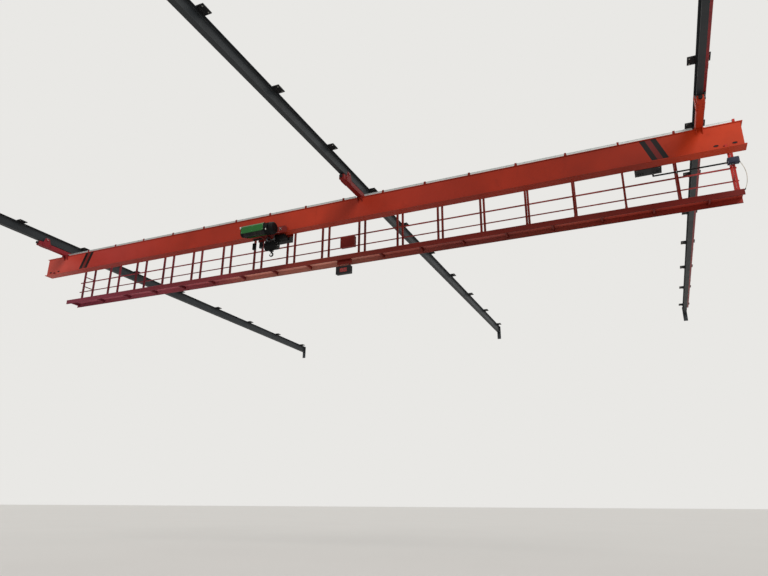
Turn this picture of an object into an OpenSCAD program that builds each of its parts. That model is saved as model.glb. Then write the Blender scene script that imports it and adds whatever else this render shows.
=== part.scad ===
// Underslung bridge crane: three runway beams hung from above, a box girder on
// three end trucks, a service walkway behind the girder and a low-headroom hoist trolley.
// +X runs along the girder, +Y along the runways and +Z is up. The origin is on the top
// face of a hanger plate of the middle runway.

/* [Runways] */
// Distance between the left and the middle runway
left_bay = 13000; // [9000:100:16000]
// Distance between the middle and the right runway
right_bay = 9800; // [7000:100:14000]
// Depth of a runway beam
runway_depth = 360; // [340:10:420]
// Width of the flanges of a runway beam
runway_flange_w = 150; // [140:5:200]
// Thickness of the flanges of a runway beam
runway_flange_t = 16; // [12:1:22]
// Thickness of the web of a runway beam
runway_web_t = 10; // [8:1:16]
// Distance from one hanger plate to the next
hanger_pitch = 2900; // [2600:50:3400]
// Hanger plates in front of the origin
hangers_front = 2; // [2:1:3]
// Hanger plates behind the origin
hangers_back = 7; // [5:1:8]
// Length of a runway beam in front of its first hanger plate
runway_front = 1500; // [350:10:1600]
// Length of a runway beam behind its last hanger plate
runway_back = 500; // [350:10:800]
// Depth of an end stop below the runway beam
stop_drop = 376; // [300:2:420]

/* [Hanger plates] */
// Width of a hanger plate across the runway
hanger_w = 500; // [460:10:600]
// Length of a hanger plate along the runway
hanger_l = 300; // [240:10:400]
// Thickness of a hanger plate
hanger_t = 24; // [16:1:30]
// Distance between the bolt holes across the runway
hanger_hole_x = 400; // [380:10:420]
// Distance between the bolt holes along the runway
hanger_hole_y = 200; // [160:10:220]
// Diameter of the bolt holes
hanger_hole_d = 22; // [18:1:26]

/* [Conductor bar] */
// Width of the enclosed conductor bar
conductor_w = 75; // [60:1:90]
// Height of the enclosed conductor bar
conductor_h = 60; // [50:1:70]

/* [Bridge girder] */
// Girder past the left runway
overhang_left = 1000; // [950:10:1400]
// Girder past the right runway
overhang_right = 1000; // [950:10:1400]
// Depth of the girder
girder_depth = 700; // [600:10:800]
// Width of the bottom flange, which the trolley runs on
girder_bottom_w = 350; // [340:5:380]
// Width of the top flange
girder_top_w = 310; // [290:5:350]
// Width over the two webs
girder_box_w = 260; // [250:5:264]
// Thickness of the bottom flange
girder_bottom_t = 20; // [16:1:26]
// Thickness of the top flange
girder_top_t = 16; // [12:1:22]
// Thickness of a web
girder_web_t = 8; // [6:1:12]
// Distance from the end of the flanges to the end plate
girder_setback = 50; // [40:5:150]
// Place of the bridge along the runways
bridge_y = 2350; // [1500:50:4000]

/* [End trucks] */
// Length of an end truck
truck_l = 2900; // [2700:50:3300]
// Width of the beam of an end truck
truck_w = 170; // [150:5:180]
// Height of the beam of an end truck
truck_h = 150; // [120:5:160]
// Free height from the truck beam to the runway above it
truck_clearance = 30; // [20:1:60]
// Distance from the end of a truck to the middle of its wheels
truck_wheel_inset = 300; // [250:10:400]
// Diameter of a truck wheel
truck_wheel_d = 150; // [130:2:170]
// Length of a truck buffer
buffer_l = 70; // [50:5:100]

/* [Walkway] */
// Number of frames that carry the walkway
frame_count = 18; // [12:1:18]
// Distance from one frame to the next
frame_pitch = 1400; // [1380:5:1410]
// Distance from the right end of the girder to the first frame
frame_inset = 200; // [160:10:260]
// Distance from the middle of the girder to the near edge of the walkway
walkway_y = 1020; // [960:10:1200]
// Width of the walkway floor
walkway_w = 560; // [500:10:700]
// Distance from the top of the girder down to the walkway floor
walkway_drop = 1366; // [1300:2:1500]
// Height of the top rail above the floor
top_rail_h = 940; // [850:10:1050]
// Height of the middle rail above the floor
middle_rail_h = 530; // [450:10:600]
// Height of an arm on the girder
arm_h = 80; // [60:2:90]
// Width of an arm and of the posts that hang from its end
arm_w = 60; // [50:2:80]
// Width of a post next to the girder
near_post_w = 60; // [40:1:80]
// Depth of a post at the railing
far_post_w = 60; // [50:1:80]
// Width of a rail
rail_w = 40; // [30:1:50]

/* [Hoist trolley] */
// Place of the trolley along the girder
trolley_x = -3350; // [-9000:50:7000]
// Distance from the middle of the trolley to its wheels
trolley_wheel_x = 450; // [440:5:520]
// Diameter of a trolley wheel
trolley_wheel_d = 120; // [110:2:130]
// Diameter of the rope drum
drum_d = 300; // [240:5:310]
// Length of the rope drum
drum_l = 840; // [700:10:900]
// Distance from the middle of the girder to the drum
drum_y = 560; // [540:5:640]
// Diameter of the hoist motor
motor_d = 400; // [360:5:420]
// Length of the hoist motor
motor_l = 330; // [300:5:420]
// Distance from the middle of the trolley to the bracket between the drum and the motor
hoist_x = 120; // [60:5:160]

/* [Hook block] */
// Diameter of the rope sheaves
sheave_d = 240; // [220:5:260]
// Diameter of the rope
rope_d = 12; // [10:1:14]
// Distance from the upper sheaves down to the sheaves of the hook block
block_drop = 250; // [245:5:320]
// Thickness of the hook
hook_d = 52; // [44:1:56]
// Radius of the bend of the hook
hook_r = 60; // [56:1:70]

/* [Hidden] */
$fn = 48;
eps = 1;

// Running gap of a wheel and side gap between a wheel and what it runs along
seat_gap = 0.3;
side_gap = 6;

// Levels
beam_top = -hanger_t;
beam_bottom = beam_top - runway_depth;
girder_top = beam_bottom - truck_clearance - truck_h;
girder_bottom = girder_top - girder_depth;
lip_top = girder_bottom + girder_bottom_t;
floor_top = girder_top - walkway_drop;

// Runways
runway_x = [-left_bay, 0, right_bay];
runway_y0 = -hangers_front * hanger_pitch - runway_front;
runway_y1 = hangers_back * hanger_pitch + runway_back;
stop_t = 20;
stop_w = 200;
clip_reach = 20;
clip_edge = 40;
clip_l = 220;
stop_rib = 90;
conductor_gap = 40;
conductor_z = beam_top - runway_flange_t - conductor_gap;
conductor_x = runway_flange_w / 2 + conductor_gap;
conductor_setback = 300;
conductor_wall = 8;
bracket_l = 40;

// Girder
girder_x0 = -left_bay - overhang_left;
girder_x1 = right_bay + overhang_right;
web_x0 = girder_x0 + girder_setback;
web_x1 = girder_x1 - girder_setback;
lug_w = 140;
lug_h = 90;
lug_t = 16;
lug_inset = 300;
lug_hole_d = 36;
trolley_stop_l = 60;
trolley_stop_h = 64;
trolley_stop_inset = 450;

// End trucks
tread_top = beam_bottom + runway_flange_t + seat_gap;
truck_wheel_y = truck_l / 2 - truck_wheel_inset;
truck_wheel_z = tread_top + truck_wheel_d / 2;
wheel_inner = runway_web_t / 2 + 30;
rim_t = 8;
rim_h = 13;
rim_inner = runway_flange_w / 2 + side_gap;
cheek_inner = rim_inner + rim_t + 4;
cheek_t = 10;
cheek_l = 320;
cheek_top = truck_wheel_z + 65;
cap_t = 16;
cap_d = 90;
truck_wall = 8;
truck_hole_d = 40;
cheek_bar = 20;
axle_d = 60;
buffer_d = 90;
drive_w = 110;
drive_half = 100;
drive_low = 100;
drive_high = 80;
travel_motor_d = 144;
travel_motor_l = 260;
travel_motor_z = truck_wheel_z - 10;
coupling_l = 30;
fan_l = 40;
collector_w = 52;
collector_arm = 30;
collector_l = 200;

// Walkway
frame_x = [for (i = [0 : frame_count - 1]) girder_x1 - frame_inset - i * frame_pitch];
floor_t = 4;
edge_h = 160;
edge_t = 6;
tube_wall = 4;
post_wall = 3;
walkway_end = 70;
walkway_x1 = girder_x1 - walkway_end;
end_rail_inset = 15;
end_rail_w = arm_w - 2 * end_rail_inset;
cross_bar_w = 50;
cross_bar_h = 100;
near_post_y = walkway_y + near_post_w / 2 + 10;
far_post_y = walkway_y + walkway_w - far_post_w / 2 - 30;
arm_front = girder_top_w / 2 + 5;
arm_back = far_post_y + far_post_w / 2;
tray_w = 90;
tray_h = 60;
tray_t = 3;
tray_gap = 10;
tray_clear = 60;

// Control gear
cabinet_w = 700;
cabinet_d = 390;
cabinet_h = 436;
cabinet_x = frame_x[1] - frame_pitch / 2 - 20;
cabinet_rail = 40;
door_t = 14;
door_edge = 12;
door_gap = 8;
cabinet_top = girder_top - cabinet_rail;
cabinet_bottom = cabinet_top - cabinet_h;
cabinet_back = near_post_y - near_post_w / 2 - 10;
conduit_d = 45;
conduit_drop = 60;
conduit_z = cabinet_bottom - conduit_drop;
conduit_y = near_post_y - near_post_w / 2 - conduit_d / 2;
conduit_x0 = cabinet_x + 120;
junction_d = 150;
junction_h = 150;
junction_x = frame_x[0] - 150;
junction_w = walkway_x1 - junction_x;
cable_d = 20;
cable_bulge = 110;
cable_end_drop = 30;
display_x = -1160;
display_drop = 240;
display_w = 540;
display_h = 260;
display_d = 120;
display_z = floor_top - floor_t - edge_h - display_drop;
display_y = walkway_y + 40;
bezel_w = 8;
bezel_t = 20;
screen_w = 280;
screen_h = 150;
screen_t = 8;
bracket_w = 550;
bracket_t = 8;
bracket_h = 140;
strap_x = 200;
strap_w = 40;
railing_box_w = 540;
railing_box_d = 150;
lid_edge = 8;
railing_box_x = frame_x[8] - frame_pitch / 2;

// Hoist trolley
trolley_wheel_z = lip_top + seat_gap + trolley_wheel_d / 2;
trolley_rim_h = 10;
trolley_rim_y = girder_bottom_w / 2 + side_gap;
frame_y = trolley_rim_y + rim_t + 7;
frame_t = 12;
frame_l = 1400;
frame_chamfer = 80;
hub_d = 68;
hub_t = 14;
frame_top = trolley_wheel_z + 94;
tube_w = 50;
tube_top = girder_bottom - 16;
frame_bottom = tube_top - tube_w;
tube_x = 350;
carrier_t = 12;
sheave_x = 150;
sheave_w = 46;
sheave_cheek_t = 10;
sheave_clear = 5;
upper_sheave_z = tube_top - carrier_t - sheave_clear - sheave_d / 2;
groove_depth = 12;
rope_y = sheave_d / 2 - groove_depth + rope_d / 2 + seat_gap;
drum_z = girder_bottom - 26;
drum_gap = 10;
plate_t = 20;
drum_x0 = -drum_l - drum_gap;
cover_half = motor_d / 2;
cover_t = 5;
cover_top = drum_z + motor_d / 2 - 10;
cover_bottom = drum_z - 105;
box_x = tube_x - 150;
box_len = 330;
box_w = 220;
box_h = 190;
weight_l = 1000;
weight_d = 220;
weight_low = 110;
weight_high = 130;
weight_gap = 90;
weight_arm_x = 300;
weight_arm_w = 60;
gear_l = 140;
gear_d = 122;
gear_h = 120;
cross_motor_d = 116;
cross_motor_l = 220;
switch_w = 100;
switch_l = 80;
limit_arm_l = 400;
limit_rod_x = 335;
limit_arm_w = 80;
limit_arm_t = 30;
limit_rod_d = 24;
limit_rod_l = 130;
limit_weight_d = 130;
limit_weight_l = 210;

// Hook block
block_z = upper_sheave_z - block_drop;
block_clear = 8;
block_side = 40;
block_wall = 12;
block_r = sheave_d / 2 + block_clear + block_wall;
block_x = sheave_x + sheave_w / 2 + block_side + block_wall;
block_top = block_z + sheave_d / 2 - 20;
shank_d = 48;
shank_z = block_z - block_r - 48;
hook_z = shank_z - 50 - hook_r;
latch_w = 30;
latch_t = 6;

// A box between two corners
module box(x, y, z) {
    translate([x[0], y[0], z[0]])
        cube([x[1] - x[0], y[1] - y[0], z[1] - z[0]]);
}

// A rod along X, Y or Z, from its start
module rod_x(r, x0, x1, y, z) {
    translate([x0, y, z]) rotate([0, 90, 0]) cylinder(r = r, h = x1 - x0);
}
module rod_y(r, x, y0, y1, z) {
    translate([x, y0, z]) rotate([-90, 0, 0]) cylinder(r = r, h = y1 - y0);
}
module rod_z(r, x, y, z0, z1) {
    translate([x, y, z0]) cylinder(r = r, h = z1 - z0);
}

// What sits on both sides of a plane across X or Y
module both_x() {
    children();
    mirror([1, 0, 0]) children();
}
module both_y() {
    children();
    mirror([0, 1, 0]) children();
}

// The place of the moving bodies
module on_bridge() {
    translate([0, bridge_y, 0]) children();
}
module on_trolley() {
    translate([trolley_x, bridge_y, 0]) children();
}
module on_hoist() {
    translate([trolley_x + hoist_x, bridge_y, 0]) children();
}

// Runway
module runway_plates(w, z) {
    color("#37373a")
        for (x = runway_x) box([x - w / 2, x + w / 2], [runway_y0, runway_y1], z);
}

module runway_top_flanges() {
    runway_plates(runway_flange_w, [beam_top - runway_flange_t, beam_top]);
}

module runway_webs() {
    runway_plates(runway_web_t, [beam_bottom + runway_flange_t, beam_top - runway_flange_t]);
}

module runway_bottom_flanges() {
    runway_plates(runway_flange_w, [beam_bottom, beam_bottom + runway_flange_t]);
}

module hanger_plate() {
    edge = runway_flange_w / 2;
    difference() {
        box([-hanger_w / 2, hanger_w / 2], [-hanger_l / 2, hanger_l / 2], [-hanger_t, 0]);
        for (sx = [-1, 1], sy = [-1, 1])
            rod_z(hanger_hole_d / 2, sx * hanger_hole_x / 2, sy * hanger_hole_y / 2, -hanger_t - eps, eps);
    }
    both_x() {
        box([edge, edge + clip_edge], [-clip_l / 2, clip_l / 2], [beam_top - runway_flange_t, beam_top]);
        box([edge - clip_reach, edge + clip_edge], [-clip_l / 2, clip_l / 2],
            [beam_top - 2 * runway_flange_t, beam_top - runway_flange_t]);
    }
}

module hanger_plates() {
    color("#2b2b2d")
        for (x = runway_x, i = [-hangers_front : hangers_back])
            translate([x, i * hanger_pitch, 0]) hanger_plate();
}

module end_stop() {
    box([-stop_w / 2, stop_w / 2], [0, stop_t], [beam_bottom - stop_drop, beam_top]);
    translate([-stop_t / 4, stop_t, beam_top])
        rotate([90, 0, 90])
            linear_extrude(stop_t / 2)
                polygon([[0, 0], [stop_rib, 0], [0, -runway_depth - stop_drop / 2]]);
}

module runway_end_stops() {
    color("#37373a")
        for (x = runway_x) translate([x, 0, 0]) {
            translate([0, runway_y1, 0]) end_stop();
            translate([0, runway_y0, 0]) mirror([0, 1, 0]) end_stop();
        }
}

module conductor_bar() {
    color("#9b2026") translate([right_bay + conductor_x, 0, conductor_z]) difference() {
        box([0, conductor_w], [runway_y0 + conductor_setback, runway_y1 - conductor_setback], [-conductor_h, 0]);
        box([conductor_wall, conductor_w - conductor_wall], [runway_y0, runway_y1],
            [conductor_wall - conductor_h, -conductor_wall]);
    }
}

module conductor_brackets() {
    color("#8c8f92")
        for (i = [-hangers_front : hangers_back])
            translate([right_bay + conductor_x, i * hanger_pitch, 0])
                box([20, conductor_w - 20], [-bracket_l / 2, bracket_l / 2], [conductor_z, beam_top]);
}

// Girder
module lifting_lug() {
    rotate([90, 0, 0]) translate([0, 0, -lug_t / 2])
        linear_extrude(lug_t) difference() {
            polygon([[-lug_w / 2, 0], [lug_w / 2, 0], [lug_w / 4, lug_h], [-lug_w / 4, lug_h]]);
            translate([0, lug_h / 2 + 8]) circle(d = lug_hole_d);
        }
}

module girder_top_flange() {
    color("#c63a22") on_bridge()
        box([girder_x0, girder_x1], [-girder_top_w / 2, girder_top_w / 2], [girder_top - girder_top_t, girder_top]);
}

module lifting_lugs() {
    color("#c63a22") on_bridge()
        for (x = [girder_x0 + lug_inset, girder_x1 - lug_inset - frame_inset])
            translate([x, 0, girder_top]) lifting_lug();
}

module girder_web() {
    y = girder_box_w / 2;
    color("#c63a22")
        box([web_x0, web_x1], [y - girder_web_t, y], [lip_top, girder_top - girder_top_t]);
}

module girder_rear_web() {
    on_bridge() girder_web();
}

module girder_front_web() {
    on_bridge() mirror([0, 1, 0]) girder_web();
}

module girder_bottom_flange() {
    color("#c63a22") on_bridge()
        box([girder_x0, girder_x1], [-girder_bottom_w / 2, girder_bottom_w / 2], [girder_bottom, lip_top]);
}

module girder_end_plates() {
    y = girder_box_w / 2 - girder_web_t;
    color("#c63a22") on_bridge()
        for (x = concat([web_x0, web_x1 - girder_web_t], runway_x))
            box([x, x + girder_web_t], [-y, y], [lip_top, girder_top - girder_top_t]);
}

module trolley_stops() {
    color("#b8321e") on_bridge() both_y()
        for (x = [girder_x0 + trolley_stop_inset, girder_x1 - trolley_stop_inset - trolley_stop_l])
            box([x, x + trolley_stop_l], [girder_box_w / 2, girder_bottom_w / 2], [lip_top, lip_top + trolley_stop_h]);
}

// End trucks
module truck_cheek() {
    top = cheek_top - girder_top;
    translate([cheek_inner, truck_wheel_y, girder_top])
        rotate([90, 0, 90])
            linear_extrude(cheek_t)
                polygon([
                    [-cheek_l / 2, 0], [cheek_l / 2, 0], [cheek_l / 2, truck_h],
                    [cheek_l / 4, top], [-cheek_l / 4, top], [-cheek_l / 2, truck_h]
                ]);
    rod_x(cap_d / 2, cheek_inner + cheek_t, cheek_inner + cheek_t + cap_t, truck_wheel_y, truck_wheel_z);
}

module end_truck(x) {
    half = truck_w / 2;
    inner = half - truck_wall;
    low = girder_top;
    high = girder_top + truck_h;
    color("#c63a22") on_bridge() translate([x, 0, 0]) {
        difference() {
            box([-half, half], [-truck_l / 2, truck_l / 2], [low, high]);
            box([-inner, inner], [truck_wall - truck_l / 2, truck_l / 2 - truck_wall],
                [low + truck_wall, high - truck_wall]);
            rod_y(truck_hole_d / 2, 0, -truck_l, truck_l, low + truck_h / 2);
        }
        both_y() {
            for (z = [low, high - cheek_bar])
                both_x() box([half - eps, cheek_inner + eps],
                    [truck_wheel_y - cheek_l / 2, truck_wheel_y + cheek_l / 2], [z, z + cheek_bar]);
            both_x() truck_cheek();
        }
    }
}

module truck_wheel() {
    rod_x(truck_wheel_d / 2, wheel_inner, rim_inner + eps, 0, truck_wheel_z);
    rod_x(truck_wheel_d / 2 + rim_h, rim_inner, rim_inner + rim_t, 0, truck_wheel_z);
    rod_x(axle_d / 2, rim_inner, cheek_inner, 0, truck_wheel_z);
}

module truck_wheels() {
    color("#6f7276") on_bridge()
        for (x = runway_x) translate([x, 0, 0])
            both_x() for (s = [-1, 1]) translate([0, s * truck_wheel_y, 0]) truck_wheel();
}

module truck_buffers() {
    color("#1b1b1c") on_bridge()
        for (x = runway_x) translate([x, 0, 0])
            both_y() rod_y(buffer_d / 2, 0, truck_l / 2, truck_l / 2 + buffer_l, girder_top + truck_h / 2);
}

module travel_drive() {
    x = cheek_inner + cheek_t + cap_t;
    mid = x + drive_w / 2;
    coupling_y = truck_wheel_y - drive_half - coupling_l;
    fan_y = coupling_y - travel_motor_l;
    box([x, x + drive_w], [truck_wheel_y - drive_half, truck_wheel_y + drive_half],
        [truck_wheel_z - drive_low, truck_wheel_z + drive_high]);
    rod_y(travel_motor_d / 2 - 22, mid, coupling_y, coupling_y + coupling_l, travel_motor_z);
    rod_y(travel_motor_d / 2, mid, fan_y, coupling_y, travel_motor_z);
    rod_y(travel_motor_d / 2 - 8, mid, fan_y - fan_l, fan_y, travel_motor_z);
}

module travel_drives() {
    color("#3b4043") on_bridge() {
        translate([right_bay, 0, 0]) travel_drive();
        translate([-left_bay, 0, 0]) mirror([1, 0, 0]) travel_drive();
    }
}

module current_collector() {
    x = cheek_inner + cheek_t;
    shoe_z = conductor_z - conductor_h - 5;
    mid = conductor_x + conductor_w / 2;
    base = truck_wheel_z + 10;
    color("#2c2f33") on_bridge() translate([right_bay, -truck_wheel_y + cheek_l / 4 - 20, 0]) {
        box([x, mid + collector_arm / 2], [0, 2 * collector_arm], [base, base + 12]);
        box([mid - collector_arm / 2, mid + collector_arm / 2], [0, 2 * collector_arm], [base, shoe_z - 20]);
        box([mid - collector_w / 2, mid + collector_w / 2],
            [collector_arm - collector_l / 2, collector_arm + collector_l / 2], [shoe_z - 20, shoe_z]);
    }
}

// Walkway
module walkway_arms() {
    color("#a83020") on_bridge() {
        for (x = frame_x) difference() {
            box([x - arm_w / 2, x + arm_w / 2], [-arm_front, arm_back], [girder_top, girder_top + arm_h]);
            box([x - arm_w / 2 + tube_wall, x + arm_w / 2 - tube_wall], [-arm_front - eps, arm_back + eps],
                [girder_top + tube_wall, girder_top + arm_h - tube_wall]);
        }
        for (y = [cabinet_back - cabinet_d + cabinet_rail / 2, cabinet_back - cabinet_rail * 3 / 2])
            box([frame_x[2], frame_x[1]], [y, y + cabinet_rail], [cabinet_top, girder_top]);
    }
}

module hanging_post(x, y, w, depth) {
    half = w / 2;
    deep = depth / 2;
    difference() {
        box([x - half, x + half], [y - deep, y + deep], [floor_top, girder_top]);
        box([x - half + post_wall, x + half - post_wall], [y - deep + post_wall, y + deep - post_wall],
            [floor_top - eps, girder_top + eps]);
    }
}

module walkway_near_posts() {
    color("#a83020") on_bridge() for (x = frame_x) hanging_post(x, near_post_y, near_post_w, near_post_w);
}

module walkway_far_posts() {
    color("#a83020") on_bridge() for (x = frame_x) hanging_post(x, far_post_y, arm_w, far_post_w);
}

module walkway_floor() {
    color("#c4503a") on_bridge()
        box([girder_x0, walkway_x1], [walkway_y, walkway_y + walkway_w], [floor_top - floor_t, floor_top]);
}

module walkway_frame() {
    low = floor_top - floor_t - edge_h;
    high = floor_top - floor_t;
    color("#8e2a1c") on_bridge() {
        box([girder_x0, walkway_x1], [walkway_y, walkway_y + edge_t], [low, high]);
        box([girder_x0, walkway_x1], [walkway_y + walkway_w - edge_t, walkway_y + walkway_w], [low, high]);
        for (x = frame_x)
            box([x - frame_pitch / 2 - cross_bar_w / 2, x - frame_pitch / 2 + cross_bar_w / 2],
                [walkway_y + edge_t / 2, walkway_y + walkway_w - edge_t / 2], [high - cross_bar_h, high]);
    }
}

module side_rail(z, h) {
    y = far_post_y + far_post_w / 2;
    on_bridge() box([girder_x0, walkway_x1], [y, y + rail_w * 3 / 4], [floor_top + z - h, floor_top + z]);
}

module top_rail() {
    color("#b8341f") side_rail(top_rail_h, rail_w);
}

module middle_rail() {
    color("#b8341f") side_rail(middle_rail_h, rail_w * 3 / 4);
}

module end_rails() {
    y0 = near_post_y + near_post_w / 2;
    y1 = far_post_y - far_post_w / 2;
    color("#b8341f") on_bridge()
        for (x = [frame_x[0], frame_x[frame_count - 1]], z = [top_rail_h, middle_rail_h])
            box([x - end_rail_w / 2, x + end_rail_w / 2], [y0, y1], [floor_top + z - end_rail_w, floor_top + z]);
}

module cable_tray() {
    y0 = -girder_top_w / 2;
    color("#b9bab8") on_bridge() difference() {
        for (i = [1 : frame_count - 1])
            box([frame_x[i] + arm_w / 2 + tray_gap, frame_x[i - 1] - arm_w / 2 - tray_gap], [y0, y0 + tray_w],
                [girder_top, girder_top + tray_h]);
        box([girder_x0, girder_x1], [y0 + tray_t, y0 + tray_w - tray_t],
            [girder_top + tray_t, girder_top + tray_h + eps]);
        for (x = runway_x)
            box([x - cheek_inner - tray_clear, x + cheek_inner + tray_clear], [y0 - eps, y0 + tray_w + eps],
                [girder_top - eps, girder_top + tray_h + eps]);
    }
}

// Control gear
module control_cabinet() {
    x0 = cabinet_x - cabinet_w / 2;
    x1 = cabinet_x + cabinet_w / 2;
    y0 = cabinet_back - cabinet_d;
    color("#3f4347") on_bridge() {
        box([x0, x1], [y0, cabinet_back], [cabinet_bottom, cabinet_top]);
        for (i = [0, 1]) {
            x = x0 + door_edge + i * (cabinet_w / 2 - door_gap);
            box([x, x + cabinet_w / 2 - 2 * door_gap], [y0 - door_t, y0],
                [cabinet_bottom + door_edge, cabinet_top - door_edge]);
        }
    }
}

module supply_conduit() {
    r = conduit_d / 2;
    color("#1c1c1e") on_bridge() {
        rod_z(r, conduit_x0, conduit_y, conduit_z, cabinet_bottom);
        translate([conduit_x0, conduit_y, conduit_z]) sphere(r = r);
        rod_x(r, conduit_x0, junction_x, conduit_y, conduit_z);
    }
}

module junction_box() {
    y1 = near_post_y - near_post_w / 2;
    color("#2a3550") on_bridge()
        box([junction_x, junction_x + junction_w], [y1 - junction_d, y1],
            [conduit_z - junction_h / 2, conduit_z + junction_h / 2]);
}

module hanging_cable() {
    z1 = conduit_z;
    z0 = floor_top - floor_t - cable_end_drop;
    chord = z1 - z0;
    r = (chord * chord / 4 + cable_bulge * cable_bulge) / (2 * cable_bulge);
    sweep = 2 * asin(chord / 2 / r);
    x = walkway_x1 + seat_gap + cable_d / 2 * cos(sweep / 2);
    color("#c9c7c0") on_bridge()
        translate([x + cable_bulge - r, walkway_y + edge_t / 2, (z0 + z1) / 2])
            rotate([90, 0, 0]) rotate([0, 0, -sweep / 2])
                rotate_extrude(angle = sweep, $fn = 96) translate([r, 0]) circle(d = cable_d, $fn = 16);
}

module railing_box() {
    y = far_post_y + far_post_w / 2;
    low = floor_top + middle_rail_h;
    high = floor_top + top_rail_h - rail_w;
    x0 = railing_box_x - railing_box_w / 2;
    x1 = railing_box_x + railing_box_w / 2;
    color("#b8341f") on_bridge() {
        box([x0, x1], [y, y + railing_box_d], [low, high]);
        box([x0 - lid_edge, x1 + lid_edge], [y + rail_w, y + railing_box_d + lid_edge],
            [(low + high) / 2 - lid_edge, (low + high) / 2 + lid_edge]);
    }
}

module load_display() {
    color("#161618") on_bridge() {
        box([display_x - display_w / 2, display_x + display_w / 2], [display_y, display_y + display_d],
            [display_z - display_h, display_z]);
        difference() {
            box([display_x - display_w / 2 - bezel_w, display_x + display_w / 2 + bezel_w],
                [display_y - bezel_t, display_y], [display_z - display_h - bezel_w, display_z + bezel_w]);
            box([display_x - screen_w / 2, display_x + screen_w / 2],
                [display_y - bezel_t - eps, display_y - bezel_t + screen_t],
                [display_z - display_h / 2 - screen_h / 2, display_z - display_h / 2 + screen_h / 2]);
        }
    }
}

module display_bracket() {
    low = floor_top - floor_t - edge_h;
    y = display_y + display_d / 2;
    color("#7d2417") on_bridge() {
        box([display_x - bracket_w / 2, display_x + bracket_w / 2], [walkway_y, y + strap_w], [low - bracket_t, low]);
        box([display_x - bracket_w / 2, display_x + bracket_w / 2], [y - bracket_t / 2, y + bracket_t / 2],
            [low - bracket_h, low - bracket_t]);
        for (s = [-1, 1])
            box([display_x + s * strap_x - strap_w / 2, display_x + s * strap_x + strap_w / 2],
                [y - bracket_t / 2, y + bracket_t / 2], [display_z, low - bracket_h]);
    }
}

// Hoist trolley
module trolley_side(x0, x1) {
    translate([0, frame_y, 0]) rotate([90, 0, 0]) mirror([0, 0, 1])
        linear_extrude(frame_t)
            polygon([
                [x0, frame_bottom], [x1, frame_bottom], [x1, frame_top - frame_chamfer],
                [x1 - frame_chamfer, frame_top], [x0 + frame_chamfer, frame_top], [x0, frame_top - frame_chamfer]
            ]);
    for (x = [-trolley_wheel_x, trolley_wheel_x])
        rod_y(hub_d / 2, x, frame_y + frame_t, frame_y + frame_t + hub_t, trolley_wheel_z);
}

module trolley_front_frame() {
    color("#8e2a1c") on_trolley() mirror([0, 1, 0]) trolley_side(hoist_x + drum_x0 - drum_gap - plate_t, frame_l / 2);
}

module trolley_rear_frame() {
    color("#8e2a1c") on_trolley() trolley_side(-frame_l / 2, frame_l / 2);
}

module trolley_cross_frame() {
    low = tube_top - tube_w;
    inner = tube_x - tube_w / 2;
    cheek_x = sheave_x + sheave_w / 2 + 8;
    color("#6f2216") on_trolley() {
        both_x() difference() {
            box([inner, inner + tube_w], [-frame_y, frame_y], [low, tube_top]);
            box([inner + tube_wall, inner + tube_w - tube_wall], [-frame_y - eps, frame_y + eps],
                [low + tube_wall, tube_top - tube_wall]);
        }
        box([-inner - eps, inner + eps], [-90, 90], [tube_top - carrier_t, tube_top]);
        both_x() box([cheek_x, cheek_x + sheave_cheek_t], [-60, 60],
            [upper_sheave_z - 40, tube_top - carrier_t + eps]);
    }
}

module trolley_wheel() {
    y0 = girder_box_w / 2 + 7;
    rod_y(trolley_wheel_d / 2, 0, y0, trolley_rim_y + eps, trolley_wheel_z);
    rod_y(trolley_wheel_d / 2 + trolley_rim_h, 0, trolley_rim_y, trolley_rim_y + rim_t, trolley_wheel_z);
    rod_y(25, 0, trolley_rim_y, frame_y, trolley_wheel_z);
}

module trolley_wheels() {
    color("#6f7276") on_trolley() both_y()
        for (x = [-trolley_wheel_x, trolley_wheel_x]) translate([x, 0, 0]) trolley_wheel();
}

module rope_drum() {
    color("#4a4d50") on_hoist() {
        rod_x(drum_d / 2, drum_x0, -drum_gap, -drum_y, drum_z);
        for (x = [drum_x0, -drum_gap - 12]) rod_x(drum_d / 2 + 15, x, x + 12, -drum_y, drum_z);
        rod_x(35, drum_x0 - drum_gap, 0, -drum_y, drum_z);
    }
}

// Outline of the drum cover, across the drum
module cover_outline(grow) {
    front = drum_y + cover_half - grow;
    back = drum_y - cover_half + grow;
    top = cover_top - grow;
    polygon([
        [-front, cover_bottom - 2 * grow], [-front, cover_top - 70], [-front + 60 - grow / 2, top],
        [-back - 50 + grow / 2, top], [-back, cover_top - 60], [-back, cover_bottom - 2 * grow]
    ]);
}

module drum_bracket() {
    rotate([90, 0, 90]) linear_extrude(plate_t) {
        difference() {
            cover_outline(0);
            translate([-drum_y - cover_half - eps, cover_bottom - eps]) square([60, 30]);
        }
        translate([-drum_y + cover_half - eps, frame_bottom])
            square([drum_y - cover_half - frame_y - frame_t + eps, 150]);
    }
}

module drum_brackets() {
    color("#202123") on_hoist() {
        drum_bracket();
        translate([drum_x0 - drum_gap - plate_t, 0, 0]) drum_bracket();
        rod_x(130, drum_x0 - drum_gap - plate_t - 60, drum_x0 - drum_gap - plate_t, -drum_y, drum_z - 20);
    }
}

module drum_cover() {
    color("#23713a") on_hoist()
        translate([drum_x0 - drum_gap, 0, 0]) rotate([90, 0, 90])
            linear_extrude(drum_l + 2 * drum_gap) difference() {
                cover_outline(0);
                cover_outline(cover_t);
            }
}

module hoist_motor() {
    r = motor_d / 2;
    round_l = 65;
    steps = 8;
    color("#17181a") on_hoist() translate([plate_t, -drum_y, drum_z]) rotate([0, 90, 0])
        rotate_extrude() polygon(concat(
            [[0, 0], [r, 0], [r, motor_l - round_l]],
            [for (i = [1 : steps]) [
                r - round_l + round_l * cos(90 * i / steps),
                motor_l - round_l + round_l * sin(90 * i / steps)
            ]],
            [[0, motor_l]]
        ));
}

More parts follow.
